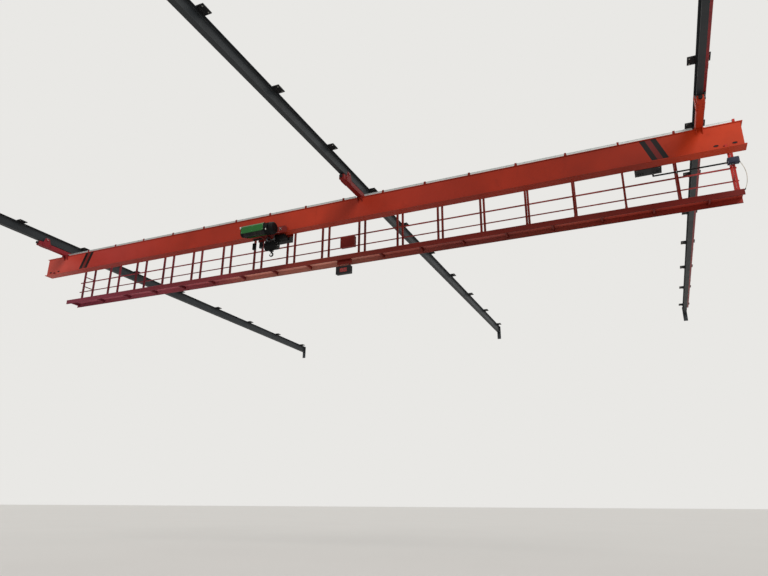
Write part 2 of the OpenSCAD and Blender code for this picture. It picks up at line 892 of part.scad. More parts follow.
module limit_switch_box() {
    x = drum_x0 - drum_gap - plate_t;
    color("#d8d8d2") on_hoist()
        box([x - switch_l, x], [-drum_y - switch_w - 40, -drum_y - 40], [drum_z + 115, cover_top - 10]);
}

module counterweight() {
    color("#2a2c2e") on_trolley() {
        box([-weight_l / 2, weight_l / 2],
            [frame_y + frame_t + weight_gap, frame_y + frame_t + weight_gap + weight_d],
            [drum_z - weight_low, drum_z + weight_high]);
        both_x() box([weight_arm_x - weight_arm_w / 2, weight_arm_x + weight_arm_w / 2],
            [frame_y + frame_t, frame_y + frame_t + weight_gap + eps],
            [frame_bottom + 40, frame_bottom + 40 + weight_arm_w]);
    }
}

module cross_travel_drive() {
    x = -frame_l / 2;
    y = frame_y + frame_t;
    low = frame_bottom + 30;
    color("#3b4043") on_trolley() {
        box([x, x + gear_l], [y, y + gear_d], [low, low + gear_h]);
        rod_z(cross_motor_d / 2, x + gear_l / 2, y + gear_d / 2 + 1, low - cross_motor_l, low);
    }
}

module sheave() {
    r = sheave_d / 2;
    rotate([0, 90, 0]) rotate_extrude(convexity = 4) polygon([
        [18, -sheave_w / 2], [r, -sheave_w / 2], [r, -rope_d * 0.9], [r - groove_depth, -rope_d * 0.6],
        [r - groove_depth, rope_d * 0.6], [r, rope_d * 0.9], [r, sheave_w / 2], [18, sheave_w / 2]
    ]);
}

module sheave_pair(z, reach) {
    translate([0, 0, z]) {
        for (x = [-sheave_x, sheave_x]) translate([x, 0, 0]) sheave();
        rod_x(18, -reach, reach, 0, 0);
    }
}

module upper_sheaves() {
    color("#55585b") on_trolley() sheave_pair(upper_sheave_z, sheave_x + sheave_w / 2 + 8);
}

module trolley_control_box() {
    top = frame_bottom - seat_gap;
    color("#1d1e20") on_trolley()
        box([box_x, box_x + box_len], [-box_w / 2, box_w / 2], [top - box_h, top]);
}

module hoist_limit_weight() {
    x = -tube_x - tube_w / 2;
    low = tube_top - tube_w;
    color("#1d1e20") on_trolley() {
        box([x - limit_arm_l, x], [-limit_arm_w / 2, limit_arm_w / 2], [low, low + limit_arm_t]);
        rod_z(limit_rod_d / 2, x - limit_rod_x, 0, low - limit_rod_l, low + eps);
        rod_z(limit_weight_d / 2, x - limit_rod_x, 0, low - limit_rod_l - limit_weight_l, low - limit_rod_l);
    }
}

// Hook block
module housing_outline(r) {
    translate([0, block_z]) circle(r = r);
    translate([-r, block_z]) square([2 * r, block_top - block_z]);
}

module block_housing() {
    color("#17181a") on_trolley() {
        difference() {
            translate([-block_x, 0, 0]) rotate([90, 0, 90]) linear_extrude(2 * block_x) housing_outline(block_r);
            translate([-block_x + block_wall, 0, 0]) rotate([90, 0, 90])
                linear_extrude(2 * (block_x - block_wall)) {
                    housing_outline(block_r - block_wall);
                    translate([-block_r + block_wall, block_z]) square([2 * (block_r - block_wall), 200]);
                }
        }
        box([-60, 60], [-45, 45], [shank_z, block_z - block_r + block_wall - 2]);
    }
}

module block_sheaves() {
    color("#55585b") on_trolley() sheave_pair(block_z, block_x - block_wall);
}

module hook() {
    color("#2f3133") on_trolley() {
        rod_z(shank_d / 2, 0, 0, hook_z + hook_r, shank_z);
        translate([0, 0, hook_z]) rotate([90, 0, 0]) rotate([0, 0, 180])
            rotate_extrude(angle = 270) translate([hook_r, 0]) circle(d = hook_d);
        translate([-hook_r, 0, hook_z]) sphere(d = hook_d);
        translate([0, 0, hook_z + hook_r]) sphere(d = hook_d);
    }
}

module hook_latch() {
    gap = hook_r * sqrt(2) - hook_d - 2 * seat_gap;
    color("#8c8f92") on_trolley()
        translate([-hook_r / 2, 0, hook_z + hook_r / 2]) rotate([0, -45, 0]) cube([gap, latch_w, latch_t], center = true);
}

module hoist_ropes() {
    color("#3a3b3c") on_trolley()
        for (x = [-sheave_x, sheave_x], y = [-rope_y, rope_y])
            rod_z(rope_d / 2, x, y, block_z, upper_sheave_z);
}

runway_top_flanges();
runway_webs();
runway_bottom_flanges();
hanger_plates();
runway_end_stops();
conductor_bar();
conductor_brackets();
girder_top_flange();
girder_front_web();
girder_rear_web();
girder_bottom_flange();
girder_end_plates();
lifting_lugs();
trolley_stops();
end_truck(-left_bay);  // end_truck_left
end_truck(0);  // end_truck_middle
end_truck(right_bay);  // end_truck_right
truck_wheels();
truck_buffers();
travel_drives();
current_collector();
walkway_arms();
walkway_near_posts();
walkway_far_posts();
walkway_floor();
walkway_frame();
top_rail();
middle_rail();
end_rails();
cable_tray();
control_cabinet();
supply_conduit();
junction_box();
hanging_cable();
railing_box();
load_display();
display_bracket();
trolley_front_frame();
trolley_rear_frame();
trolley_cross_frame();
trolley_wheels();
rope_drum();
drum_brackets();
drum_cover();
hoist_motor();
limit_switch_box();
counterweight();
cross_travel_drive();
upper_sheaves();
trolley_control_box();
hoist_limit_weight();
block_housing();
block_sheaves();
hook();
hook_latch();
hoist_ropes();
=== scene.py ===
import math
from itertools import product

import bmesh
import bpy
from mathutils import Matrix, Vector


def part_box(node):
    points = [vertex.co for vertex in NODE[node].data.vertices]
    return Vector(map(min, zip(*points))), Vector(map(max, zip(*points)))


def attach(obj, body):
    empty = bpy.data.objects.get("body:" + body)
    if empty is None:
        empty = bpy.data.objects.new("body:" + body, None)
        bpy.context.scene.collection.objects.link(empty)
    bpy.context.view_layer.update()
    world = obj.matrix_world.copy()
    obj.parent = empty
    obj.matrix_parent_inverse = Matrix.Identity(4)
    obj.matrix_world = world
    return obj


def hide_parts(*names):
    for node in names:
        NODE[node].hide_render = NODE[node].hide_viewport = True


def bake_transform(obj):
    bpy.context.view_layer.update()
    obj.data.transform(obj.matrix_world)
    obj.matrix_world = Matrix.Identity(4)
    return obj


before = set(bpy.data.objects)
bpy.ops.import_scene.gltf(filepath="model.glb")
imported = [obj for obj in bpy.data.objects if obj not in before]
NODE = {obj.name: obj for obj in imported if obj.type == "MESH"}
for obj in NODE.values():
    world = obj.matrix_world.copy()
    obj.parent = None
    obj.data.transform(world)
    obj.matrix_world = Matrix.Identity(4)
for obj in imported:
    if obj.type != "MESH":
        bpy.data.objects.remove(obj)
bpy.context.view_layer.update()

TURN = 2 * math.pi
BOTH = (-1, 1)
UP = (0, 0, 1)
DOWN = (0, 0, -1)
FRONT = (0, -1, 0)
BACK = (0, 1, 0)


# Places taken from the frame
def span(node):
    lo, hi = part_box(node)
    return Vector(lo), Vector(hi)


def middle(node):
    lo, hi = span(node)
    return (lo + hi) / 2


BRIDGE_Y = middle("girder_bottom_flange").y
TROLLEY_X = middle("trolley_rear_frame").x
GIRDER_TOP = span("girder_top_flange")[1].z
GIRDER_BOTTOM = span("girder_bottom_flange")[0].z
LIP_TOP = span("girder_bottom_flange")[1].z
FLOOR_TOP = span("walkway_floor")[1].z
RUNWAY_X = [middle(f"end_truck_{side}").x for side in ("left", "middle", "right")]
BEAM_TOP = span("runway_top_flanges")[1].z
BEAM_BOTTOM = span("runway_bottom_flanges")[0].z
WHEEL_Z = middle("truck_wheels").z
FRAME_COUNT = 18
POST_LO, POST_HI = span("walkway_near_posts")
POST_HALF = (POST_HI.y - POST_LO.y) / 2
PITCH = (POST_HI.x - POST_LO.x - 2 * POST_HALF) / (FRAME_COUNT - 1)
FRAMES = [POST_HI.x - POST_HALF - i * PITCH for i in range(FRAME_COUNT)]
HANGER_PITCH = 2.9
HANGERS = [i * HANGER_PITCH for i in range(-2, 8)]
FLANGE_HALF = span("runway_bottom_flanges")[1].x - RUNWAY_X[2]
TRUCK_HALF = 0.085
ARM_HALF = 0.030


# Rows of places
def ends(low, high):
    """Both ends of a range, each with its outward sign."""
    return ((low, -1), (high, 1))


def around(centre, reach):
    return (centre - reach, centre + reach)


def inside(low, high, inset):
    return (low + inset, high - inset)


def each(make, xs, ys, zs, *rest):
    """Calls make at every crossing of three rows of places. A row may be a single place."""
    rows = [row if isinstance(row, (tuple, list)) else (row,) for row in (xs, ys, zs)]
    for at in product(*rows):
        make(at, *rest)


def sweep(count, per_turn, start=0.0):
    """Steps along an arc or a coil: the step's number, its cosine and its sine."""
    angles = [start + TURN * k / per_turn for k in range(count)]
    return [(k, math.cos(a), math.sin(a)) for k, a in enumerate(angles)]


def circle(count, start=0.0):
    return [(c, s) for _, c, s in sweep(count, count, start)]


# Mesh code
def basis(axis):
    w = Vector(axis).normalized()
    u = w.orthogonal().normalized()
    return u, w.cross(u), w


class Piece:
    """The faces of one piece, in metres in the frame."""

    waiting = []

    def __init__(self, name, material, body="bridge", smooth=35.0, slot=None):
        self.name = name
        self.material = material
        self.body = body
        self.smooth = smooth
        self.slot = slot or slot_of(material)
        self.verts = []
        self.faces = []
        Piece.waiting.append(self)

    def add(self, verts, faces):
        base = len(self.verts)
        self.verts.extend(tuple(v) for v in verts)
        self.faces.extend(tuple(base + i for i in face) for face in faces)

    def box(self, lo, hi, edge=0.002):
        """A box with chamfered edges: every corner has one point for each of its three faces."""
        limits = [sorted(pair) for pair in zip(lo, hi)]
        edge = min([edge] + [(high - low) * 0.4 for low, high in limits])
        verts = []
        for corner in product((0, 1), repeat=3):
            for axis in range(3):
                inset = [0 if k == axis else edge - 2 * edge * corner[k] for k in range(3)]
                verts.append([limits[k][corner[k]] + inset[k] for k in range(3)])
        faces = [(i, i + 1, i + 2) for i in range(0, 24, 3)]
        step = (12, 6, 3)
        square = ((0, 0), (1, 0), (1, 1), (0, 1))
        for axis in range(3):
            a, b = [k for k in range(3) if k != axis]
            lower = [p * step[a] + q * step[b] for p, q in square]
            upper = [i + step[axis] for i in lower]
            faces.append([i + axis for i in lower])
            faces.append([i + axis for i in upper])
            faces.extend([i + a, j + a, j + b, i + b] for i, j in zip(lower, upper))
        self.add(verts, faces)

    def pad(self, at, reach, edge=0.002):
        """A box around a point. Each reach is a half width or a pair of distances."""
        pairs = [r if isinstance(r, tuple) else (-r, r) for r in reach]
        lo, hi = [[a + pair[k] for a, pair in zip(at, pairs)] for k in (0, 1)]
        self.box(lo, hi, edge)

    def loft(self, rings, closed=False):
        """A skin over rings of points. A ring of one point is a tip, and open ends get caps."""
        starts = [sum(len(ring) for ring in rings[:i]) for i in range(len(rings))]
        sides = max(len(rings[0]), len(rings[1]))
        faces = []
        for i in range(len(rings) if closed else len(rings) - 1):
            j = (i + 1) % len(rings)
            for k in range(sides):
                steps = ((i, k), (i, k + 1), (j, k + 1), (j, k))
                corners = [starts[ring] + step % len(rings[ring]) for ring, step in steps]
                faces.append(list(dict.fromkeys(corners)))
        if not closed:
            for start, ring in ((starts[0], rings[0]), (starts[-1], rings[-1])):
                if len(ring) > 1:
                    faces.append(range(start, start + len(ring)))
        self.add([point for ring in rings for point in ring], faces)

    def lathe(self, profile, at, axis, sides=24, turn=0.0):
        """A turned shape. The profile holds a radius and a distance along the axis."""
        u, v, w = basis(axis)
        at = Vector(at)
        rings = []
        for radius, along in profile:
            if radius < 1e-6:
                rings.append([at + w * along])
            else:
                rings.append([at + w * along + (u * c + v * s) * radius for c, s in circle(sides, turn)])
        self.loft(rings)

    def rod(self, a, b, radius, sides=20):
        a = Vector(a)
        b = Vector(b)
        length = (b - a).length
        edge = min(0.001, radius * 0.4, length * 0.4)
        profile = [(radius - edge, 0), (radius, edge), (radius, length - edge), (radius - edge, length)]
        self.lathe(profile, a, b - a, sides)

    def ring(self, at, axis, inner, outer, depth, sides=32, edge=0.0015):
        """A flat ring with a hole, open in the middle."""
        u, v, w = basis(axis)
        at = Vector(at)
        section = [(inner, 0), (outer - edge, 0), (outer, edge)]
        section += [(outer, depth - edge), (outer - edge, depth), (inner, depth)]
        spokes = [u * c + v * s for c, s in circle(sides)]
        self.loft([[at + spoke * r + w * t for r, t in section] for spoke in spokes], closed=True)

    def tube(self, points, radius, sides=10, closed=False):
        """A round bar along a path."""
        points = [Vector(p) for p in points]
        count = len(points)
        side = None
        rings = []
        for i, point in enumerate(points):
            if closed:
                tangent = (points[(i + 1) % count] - points[i - 1]).normalized()
            else:
                tangent = (points[min(i + 1, count - 1)] - points[max(i - 1, 0)]).normalized()
            if side is None:
                side = tangent.orthogonal().normalized()
            side = (side - tangent * side.dot(tangent)).normalized()
            other = tangent.cross(side)
            rings.append([point + (side * c + other * s) * radius for c, s in circle(sides)])
        self.loft(rings, closed)

    def prism(self, outline, at, u, v, depth):
        """A flat outline, drawn along u and v, pushed along depth."""
        at, u, v, depth = Vector(at), Vector(u), Vector(v), Vector(depth)
        front = [at + u * a + v * b for a, b in outline]
        self.loft([front, [p + depth for p in front]])

    def bolt(self, at, axis, size, turn=0.0):
        """A washer and a hexagon head that stand on a face."""
        step = 0.14 * size
        self.lathe([(1.08 * size, 0), (1.08 * size, step)], at, axis, 16)
        head = [(0.9 * size, step), (0.9 * size, step + 0.5 * size), (0.74 * size, step + 0.62 * size)]
        self.lathe(head, at, axis, 6, turn)

    def screw(self, at, axis, size):
        """A domed screw head."""
        head = [(size, 0), (size, 0.25 * size), (0.75 * size, 0.55 * size), (0, 0.7 * size)]
        self.lathe(head, at, axis, 12)

    def bead(self, a, b, side, up, leg=0.008):
        """A weld bead in the corner between two faces."""
        outline = [(0, 0), (leg, 0), (leg * 0.62, leg * 0.62), (0, leg)]
        self.prism(outline, a, side, up, Vector(b) - Vector(a))

    def cone_gland(self, at, axis, radius):
        """A cable gland: a hexagon, a collar and a rounded nut."""
        self.lathe([(radius * 1.5, 0), (radius * 1.5, radius * 0.7)], at, axis, 6)
        start = Vector(at) + Vector(axis).normalized() * radius * 0.7
        nut = [(radius * 1.25, 0), (radius * 1.25, radius * 0.9), (radius * 0.8, radius * 1.5)]
        self.lathe(nut, start, axis, 18)

    def build(self):
        Piece.waiting.remove(self)
        mesh = bpy.data.meshes.new(self.name)
        mesh.from_pydata(self.verts, [], self.faces)
        work = bmesh.new()
        work.from_mesh(mesh)
        bmesh.ops.recalc_face_normals(work, faces=work.faces)
        work.to_mesh(mesh)
        work.free()
        mesh.shade_smooth()
        mesh.set_sharp_from_angle(angle=math.radians(self.smooth))
        mesh.materials.append(self.material)
        obj = bpy.data.objects.new(self.name, mesh)
        bpy.context.scene.collection.objects.link(obj)
        if self.body:
            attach(obj, self.body)
        return obj


# Material code
def rgb(code):
    values = []
    for i in (1, 3, 5):
        c = int(code[i:i + 2], 16) / 255
        values.append(c / 12.92 if c <= 0.04045 else ((c + 0.055) / 1.055) ** 2.4)
    return (*values, 1.0)


def shade(colour, k):
    return (*[min(1.0, c * k) for c in colour[:3]], 1.0)


def add_node(tree, kind, inputs, **settings):
    """Inputs hold values or the sockets of other nodes."""
    made = tree.nodes.new("ShaderNode" + kind)
    for key, value in settings.items():
        setattr(made, key, value)
    for key, value in inputs.items():
        if isinstance(value, bpy.types.NodeSocket):
            tree.links.new(value, made.inputs[key])
        else:
            made.inputs[key].default_value = value
    return made


class Look:
    """One procedural material."""

    def __init__(self, name):
        self.material = bpy.data.materials.new(name)
        self.material.use_nodes = True
        self.tree = self.material.node_tree
        self.tree.nodes.clear()
        self.where = self.node("TexCoord", {}).outputs["Object"]
        self.normal = self.node("NewGeometry", {}).outputs["Normal"]

    def node(self, kind, inputs, **settings):
        return add_node(self.tree, kind, inputs, **settings)

    def math(self, operation, a, b=0.0, c=0.0):
        return self.node("Math", {0: a, 1: b, 2: c}, operation=operation).outputs[0]

    def times(self, a, b):
        return self.math("MULTIPLY", a, b)

    def scale(self, value, factor, offset):
        return self.math("MULTIPLY_ADD", value, factor, offset)

    def stretch(self, scale):
        return self.node("Mapping", {"Vector": self.where, "Scale": scale}).outputs[0]

    def noise(self, scale, detail=4.0, rough=0.55, where=None, distortion=0.0):
        inputs = {
            "Vector": where or self.where, "Scale": scale, "Detail": detail,
            "Roughness": rough, "Distortion": distortion,
        }
        return self.node("TexNoise", inputs).outputs[0]

    def cells(self, scale, output="Distance"):
        return self.node("TexVoronoi", {"Vector": self.where, "Scale": scale}).outputs[output]

    def fit(self, value, low, high, to_low=0.0, to_high=1.0):
        inputs = {"Value": value, "From Min": low, "From Max": high, "To Min": to_low, "To Max": to_high}
        return self.node("MapRange", inputs, interpolation_type="SMOOTHSTEP").outputs[0]

    def mix(self, factor, a, b, blend="MIX"):
        return self.node("Mix", {0: factor, 6: a, 7: b}, data_type="RGBA", blend_type=blend).outputs[2]

    def tone(self, colour, k):
        """A lighter or darker version of a colour that may vary."""
        if isinstance(colour, tuple):
            return shade(colour, k)
        return self.mix(1.0, colour, (k, k, k, 1.0), "MULTIPLY")

    def stain(self, colour, value, low, high, amount, base, k):
        """Mixes in a tone of the base where a pattern runs high."""
        return self.mix(self.fit(value, low, high, 0.0, amount), colour, self.tone(base, k))

    def fade(self, stops):
        """Painted light and shade along the bridge: a colour that changes along x, given as places along x
        and their colours.
        """
        x = self.parts(self.where)[0]
        colour = rgb(stops[0][1])
        for (start, _), (end, code) in zip(stops, stops[1:]):
            colour = self.mix(self.fit(x, start, end), colour, rgb(code))
        return colour

    def parts(self, vector):
        return self.node("SeparateXYZ", {0: vector}).outputs

    def facing_up(self, low, high):
        return self.fit(self.parts(self.normal)[2], low, high)

    def edges(self, radius):
        """1 along outer and inner edges."""
        soft = self.node("Bevel", {"Radius": radius}, samples=4).outputs[0]
        dot = self.node("VectorMath", {0: soft, 1: self.normal}, operation="DOT_PRODUCT")
        return self.fit(self.math("SUBTRACT", 1.0, dot.outputs["Value"]), 0.03, 0.3)

    def bump(self, height, strength, distance, normal=None):
        inputs = {"Height": height, "Strength": strength, "Distance": distance}
        if normal:
            inputs["Normal"] = normal
        return self.node("Bump", inputs).outputs[0]

    def finish(self, colour, rough, normal, metallic=0.0, shine=0.5, **glow):
        inputs = {
            "Base Color": colour, "Roughness": rough, "Normal": normal,
            "Metallic": metallic, "Specular IOR Level": shine, **glow,
        }
        surface = self.node("BsdfPrincipled", inputs)
        self.node("OutputMaterial", {0: surface.outputs[0]})
        return self.material


def enamel(name, code, gloss=0.34, dusty=0.4, wear=0.45, worn="#4a3f38", size=1.0, marks_and_painted_light=None, shine=0.3):
    """Painted steel: broad fading, blotches, paint runs, dust on top and wear along edges. A list of stops as
    the colour gives painted light and shade along the bridge.
    """
    look = Look(name)
    base = rgb(code) if isinstance(code, str) else look.fade(code)
    broad = look.noise(0.4 * size, 3.0)
    patch = look.noise(3.5 * size, 5.0, 0.6, distortion=0.4)
    runs = look.noise(1.0, 4.0, 0.6, where=look.stretch((7.0 * size, 7.0 * size, 0.7 * size)))
    colour = look.mix(look.fit(broad, 0.35, 0.66), look.tone(base, 0.86), look.tone(base, 1.10))
    colour = look.stain(colour, patch, 0.52, 0.78, 0.35, base, 0.70)
    colour = look.stain(colour, runs, 0.58, 0.80, 0.30, base, 0.62)
    # The stripes on the web are paint; the pale inner side of the walkway frame is painted light.
    if marks_and_painted_light:
        colour = marks_and_painted_light(look, colour)
    edge = look.times(look.edges(0.006), look.fit(look.noise(14.0, 5.0, 0.7), 0.46, 0.64))
    edge = look.times(edge, wear)
    colour = look.mix(edge, colour, rgb(worn))
    top = look.times(look.facing_up(0.25, 0.95), look.fit(patch, 0.2, 0.75, 0.45, 1.0))
    top = look.times(top, dusty)
    colour = look.mix(top, colour, rgb("#9b9288"))
    rough = look.scale(patch, 0.22, gloss - 0.10)
    rough = look.scale(top, 0.45, rough)
    rough = look.scale(edge, 0.25, rough)
    normal = look.bump(look.noise(95.0, 3.0), 0.10, 0.0008)
    normal = look.bump(look.noise(1.1, 2.0), 0.10, 0.02, normal)
    return look.finish(colour, rough, normal, shine=shine)


def steel(name, code, rough=0.38, oily=0.35, grain=(60.0, 60.0, 60.0)):
    """Bare metal with a grain, tarnish and old grease."""
    look = Look(name)
    base = rgb(code)
    grease = look.fit(look.noise(9.0, 5.0, 0.65, distortion=0.6), 0.50, 0.72, 0.0, oily)
    colour = look.mix(look.fit(look.noise(6.0, 4.0), 0.3, 0.7), shade(base, 0.75), shade(base, 1.15))
    colour = look.mix(look.times(look.edges(0.004), 0.5), colour, shade(base, 1.7))
    colour = look.mix(grease, colour, rgb("#2a211a"))
    scratch = look.noise(1.0, 3.0, 0.6, where=look.stretch(grain))
    value = look.scale(grease, 0.25, look.scale(scratch, 0.25, rough - 0.12))
    normal = look.bump(scratch, 0.14, 0.0006)
    return look.finish(colour, value, normal, metallic=look.scale(grease, -0.5, 0.85))


def zinc():
    """Zinc with its spangle, and dust on top."""
    look = Look("galvanised")
    base = rgb("#b4b7b6")
    grey = look.node("RGBToBW", {0: look.cells(45.0, "Color")}).outputs[0]
    colour = look.mix(grey, shade(base, 0.80), shade(base, 1.08))
    colour = look.stain(colour, look.noise(2.2, 4.0), 0.5, 0.75, 0.4, base, 0.62)
    dust = look.times(look.facing_up(0.3, 0.95), 0.5)
    colour = look.mix(dust, colour, rgb("#a1978a"))
    rough = look.scale(dust, 0.5, look.scale(grey, 0.16, 0.36))
    normal = look.bump(look.noise(160.0, 2.0), 0.08, 0.0006)
    return look.finish(colour, rough, normal, metallic=look.scale(dust, -0.6, 0.65))


def polymer(name, code, rough=0.5, dusty=0.35, grain=220.0, rib=None, shine=0.35):
    """Moulded plastic or rubber with a fine grain. A rib pitch makes a corrugated tube along x."""
    look = Look(name)
    base = rgb(code)
    colour = look.mix(look.fit(look.noise(8.0, 4.0), 0.3, 0.7), shade(base, 0.8), shade(base, 1.2))
    scuff = look.times(look.edges(0.003), look.fit(look.noise(30.0, 4.0), 0.45, 0.65))
    colour = look.mix(look.times(scuff, 0.45), colour, rgb("#8a8681"))
    dust = look.times(look.facing_up(0.2, 0.95), dusty)
    colour = look.mix(dust, colour, rgb("#8f877d"))
    value = look.scale(dust, 0.3, look.scale(look.noise(grain, 2.0), 0.2, rough - 0.1))
    normal = look.bump(look.noise(grain, 3.0), 0.22, 0.0005)
    if rib:
        wave = look.math("SINE", look.times(look.parts(look.where)[0], TURN / rib))
        normal = look.bump(wave, 0.8, rib * 0.25, normal)
    return look.finish(colour, value, normal, shine=shine)


def web_stripes(look, colour):
    """Two slanting black bands with a dark one between them, at each end of the web."""
    lo, hi = span("girder_front_web")
    start = (hi.x - lo.x) / 2 - 2.42
    width = 0.14
    place = look.parts(look.where)
    away = look.math("ABSOLUTE", look.math("SUBTRACT", place[0], (lo.x + hi.x) / 2))
    lean = look.times(look.math("SUBTRACT", hi.z, place[2]), 0.40)
    along = look.math("SUBTRACT", look.math("SUBTRACT", away, start), lean)
    along = look.scale(look.noise(25.0, 3.0), 0.006, along)
    first, between, last = [look.math("COMPARE", along, k * width, width / 2) for k in (0.5, 1.5, 2.5)]
    worn = look.fit(look.noise(7.0, 6.0, 0.7), 0.26, 0.38, 0.7, 1.0)
    colour = look.mix(look.times(look.math("ADD", first, last), worn), colour, rgb("#120d0d"))
    return look.mix(look.times(between, worn), colour, rgb("#661b18"))


# Painted light on the walkway plate's underside: lighter than its paint to undo the shade between the edge
# channels, and pale across the left half, a painted reflection of window light.
UNDERSIDE_PAINTED_LIGHT = [
    (-13.6, "#b0586a"), (-9.8, "#d07280"), (-7.2, "#c66870"), (-5.0, "#dc9486"), (-1.6, "#de9c8c"),
    (0.6, "#b86258"), (3.0, "#a65650"), (6.0, "#a64e42"), (8.0, "#a64035"), (10.4, "#ae3c30"),
]
# The plate's upper face: darker reds, pinker towards the left end as painted haze.
PLATE_REDS_PAINTED_LIGHT = [(-13.5, "#7c3034"), (1.0, "#7c2a1c"), (10.4, "#862a1a")]


def painted_inner_side_light(look, colour):
    """Painted light: makes the far channel's inner side, which stands in shade, nearly as pale as the plate's
    underside.
    """
    far = look.math("GREATER_THAN", look.parts(look.where)[1], middle("walkway_frame").y)
    forward = look.math("LESS_THAN", look.parts(look.normal)[1], -0.5)
    pale = look.tone(look.fade(UNDERSIDE_PAINTED_LIGHT), 0.7)
    return look.mix(look.times(far, forward), colour, pale)


def floor_plate():
    """The walkway floor: painted plate with a raised bar pattern on its upper face, and paler reds on its
    underside as painted light.
    """
    look = Look("walkway_plate")
    up = look.facing_up(0.2, 0.9)
    # Painted light: faces that look down take the paler underside reds, faces that look up the plate reds.
    base = look.mix(up, look.fade(UNDERSIDE_PAINTED_LIGHT), look.fade(PLATE_REDS_PAINTED_LIGHT))
    patch = look.noise(5.0, 5.0, 0.62, distortion=0.3)
    broad = look.fit(look.noise(0.8, 4.0), 0.35, 0.66)
    colour = look.mix(broad, look.tone(base, 0.82), look.tone(base, 1.12))
    colour = look.stain(colour, patch, 0.50, 0.75, 0.4, base, 0.62)
    x, y, _ = look.parts(look.where)
    seam = look.math("PINGPONG", look.math("SUBTRACT", x, FRAMES[0]), PITCH)
    line = look.math("LESS_THAN", look.math("ABSOLUTE", seam), 0.004)
    colour = look.mix(look.times(line, 0.8), colour, look.tone(base, 0.25))
    tread = 0.045
    waves = []
    for operation in ("ADD", "SUBTRACT"):
        wave = look.math("SINE", look.times(look.math(operation, x, y), TURN / tread))
        waves.append(look.times(wave, wave))
    bars = look.times(look.fit(look.math("MAXIMUM", *waves), 0.86, 0.97), up)
    colour = look.mix(look.times(bars, 0.45), colour, rgb("#8c8078"))
    colour = look.mix(look.times(up, 0.3), colour, rgb("#8f867b"))
    normal = look.bump(look.noise(1.6, 2.0), 0.12, 0.01, look.bump(bars, 0.6, 0.0015))
    return look.finish(colour, look.scale(patch, 0.25, 0.32), normal, shine=0.2)


def lit_screen():
    """A dark red screen with a fine grid of lamps, dimly lit."""
    look = Look("display_screen")
    grid = look.cells(160.0)
    lamp = look.fit(grid, 0.15, 0.55, 1.0, 0.0)
    colour = look.mix(lamp, rgb("#3d0709"), rgb("#b3201c"))
    glow = {"Emission Color": look.mix(lamp, rgb("#280406"), rgb("#c3251e")), "Emission Strength": 0.55}
    return look.finish(colour, look.scale(look.noise(20.0), 0.15, 0.12), look.bump(grid, 0.1, 0.0004), **glow)


def rope_wire():
    """Oiled wire rope: strands that wind round it."""
    look = Look("wire_rope")
    x, y, z = look.parts(look.where)
    wound = look.math("ADD", look.times(x, 900.0), look.times(y, 900.0))
    wave = look.math("SINE", look.math("ADD", look.times(z, 420.0), wound))
    colour = look.mix(look.fit(wave, -0.9, 0.7), rgb("#121110"), rgb("#4a4642"))
    colour = look.mix(look.fit(look.noise(20.0), 0.5, 0.7, 0.0, 0.5), colour, rgb("#1c1916"))
    return look.finish(colour, look.scale(look.noise(60.0), 0.25, 0.32), look.bump(wave, 0.7, 0.0012), 0.6)


def pale_floor():
    look = Look("studio_floor")
    colour = look.mix(look.noise(0.15, 3.0), rgb("#d8d6d2"), rgb("#dddbd7"))
    normal = look.bump(look.noise(3.0), 0.05, 0.002)
    return look.finish(colour, look.scale(look.noise(0.6, 4.0), 0.2, 0.7), normal)


# Painted light and shade along the bridge in these lists of reds: brighter and more orange at the right end,
# a painted pool of light, and paler and pinker at the left end, a painted haze. The girder reds are lighter
# near x = -2 to undo a truck's shadow, and the truck reds are darker in the middle, as painted shade.
GIRDER_REDS_PAINTED_LIGHT = [
    (-14.0, "#b44438"), (-11.0, "#952c24"), (-7.0, "#8f2513"), (-2.0, "#a2301a"), (2.0, "#962b1a"),
    (4.5, "#8a2410"), (6.8, "#82200b"), (8.2, "#8a220b"), (10.4, "#bc360f"),
]
TRUCK_REDS_PAINTED_LIGHT = [(-12.8, "#83242b"), (-0.2, "#7a1e1c"), (0.2, "#7a1e1c"), (9.6, "#b0361b")]
DARK_REDS_PAINTED_LIGHT = [(-14.0, "#722430"), (-1.0, "#6c1c14"), (6.0, "#701d12"), (9.2, "#7e2018"), (10.3, "#b42c25")]
FRAME_REDS_PAINTED_LIGHT = [
    (-14.0, "#7e3142"), (-7.0, "#7c3036"), (-2.0, "#7e3228"), (1.0, "#6c2018"), (3.0, "#6c1e16"),
    (6.0, "#661b12"), (10.4, "#6e150b"),
]
RAIL_REDS_PAINTED_LIGHT = [(-14.0, "#7e2530"), (2.0, "#7e221c"), (8.5, "#8a251c"), (10.8, "#b22c2c")]
RED = enamel("crane_red", GIRDER_REDS_PAINTED_LIGHT, gloss=0.44, shine=0.15)
RED_WEB = enamel("crane_red_web", GIRDER_REDS_PAINTED_LIGHT, gloss=0.42, marks_and_painted_light=web_stripes, shine=0.15)
RED_TRUCK = enamel("truck_red", TRUCK_REDS_PAINTED_LIGHT, gloss=0.46, shine=0.15)
RED_DARK = enamel("crane_red_dark", DARK_REDS_PAINTED_LIGHT, gloss=0.50, dusty=0.5, shine=0.15)
RED_FRAME = enamel("walkway_frame_red", FRAME_REDS_PAINTED_LIGHT, gloss=0.50, dusty=0.5, marks_and_painted_light=painted_inner_side_light, shine=0.15)
RED_RAIL = enamel("crane_red_rail", RAIL_REDS_PAINTED_LIGHT, gloss=0.44, dusty=0.5, size=2.0)
RUNWAY = enamel("runway_dark", "#2b2f32", 0.50, 0.55, 0.3, "#76726c", shine=0.25)
PLATE = enamel("hanger_dark", "#1c1c1e", 0.54, 0.4, 0.35, "#6e6a64", size=3.0, shine=0.25)
GREEN = enamel("hoist_green", "#0e581a", 0.42, 0.3, 0.35, "#9aa09a", size=4.0)
BLACK = enamel("hoist_black", "#0a0a0b", 0.50, 0.18, 0.3, "#4b4742", size=4.0, shine=0.12)
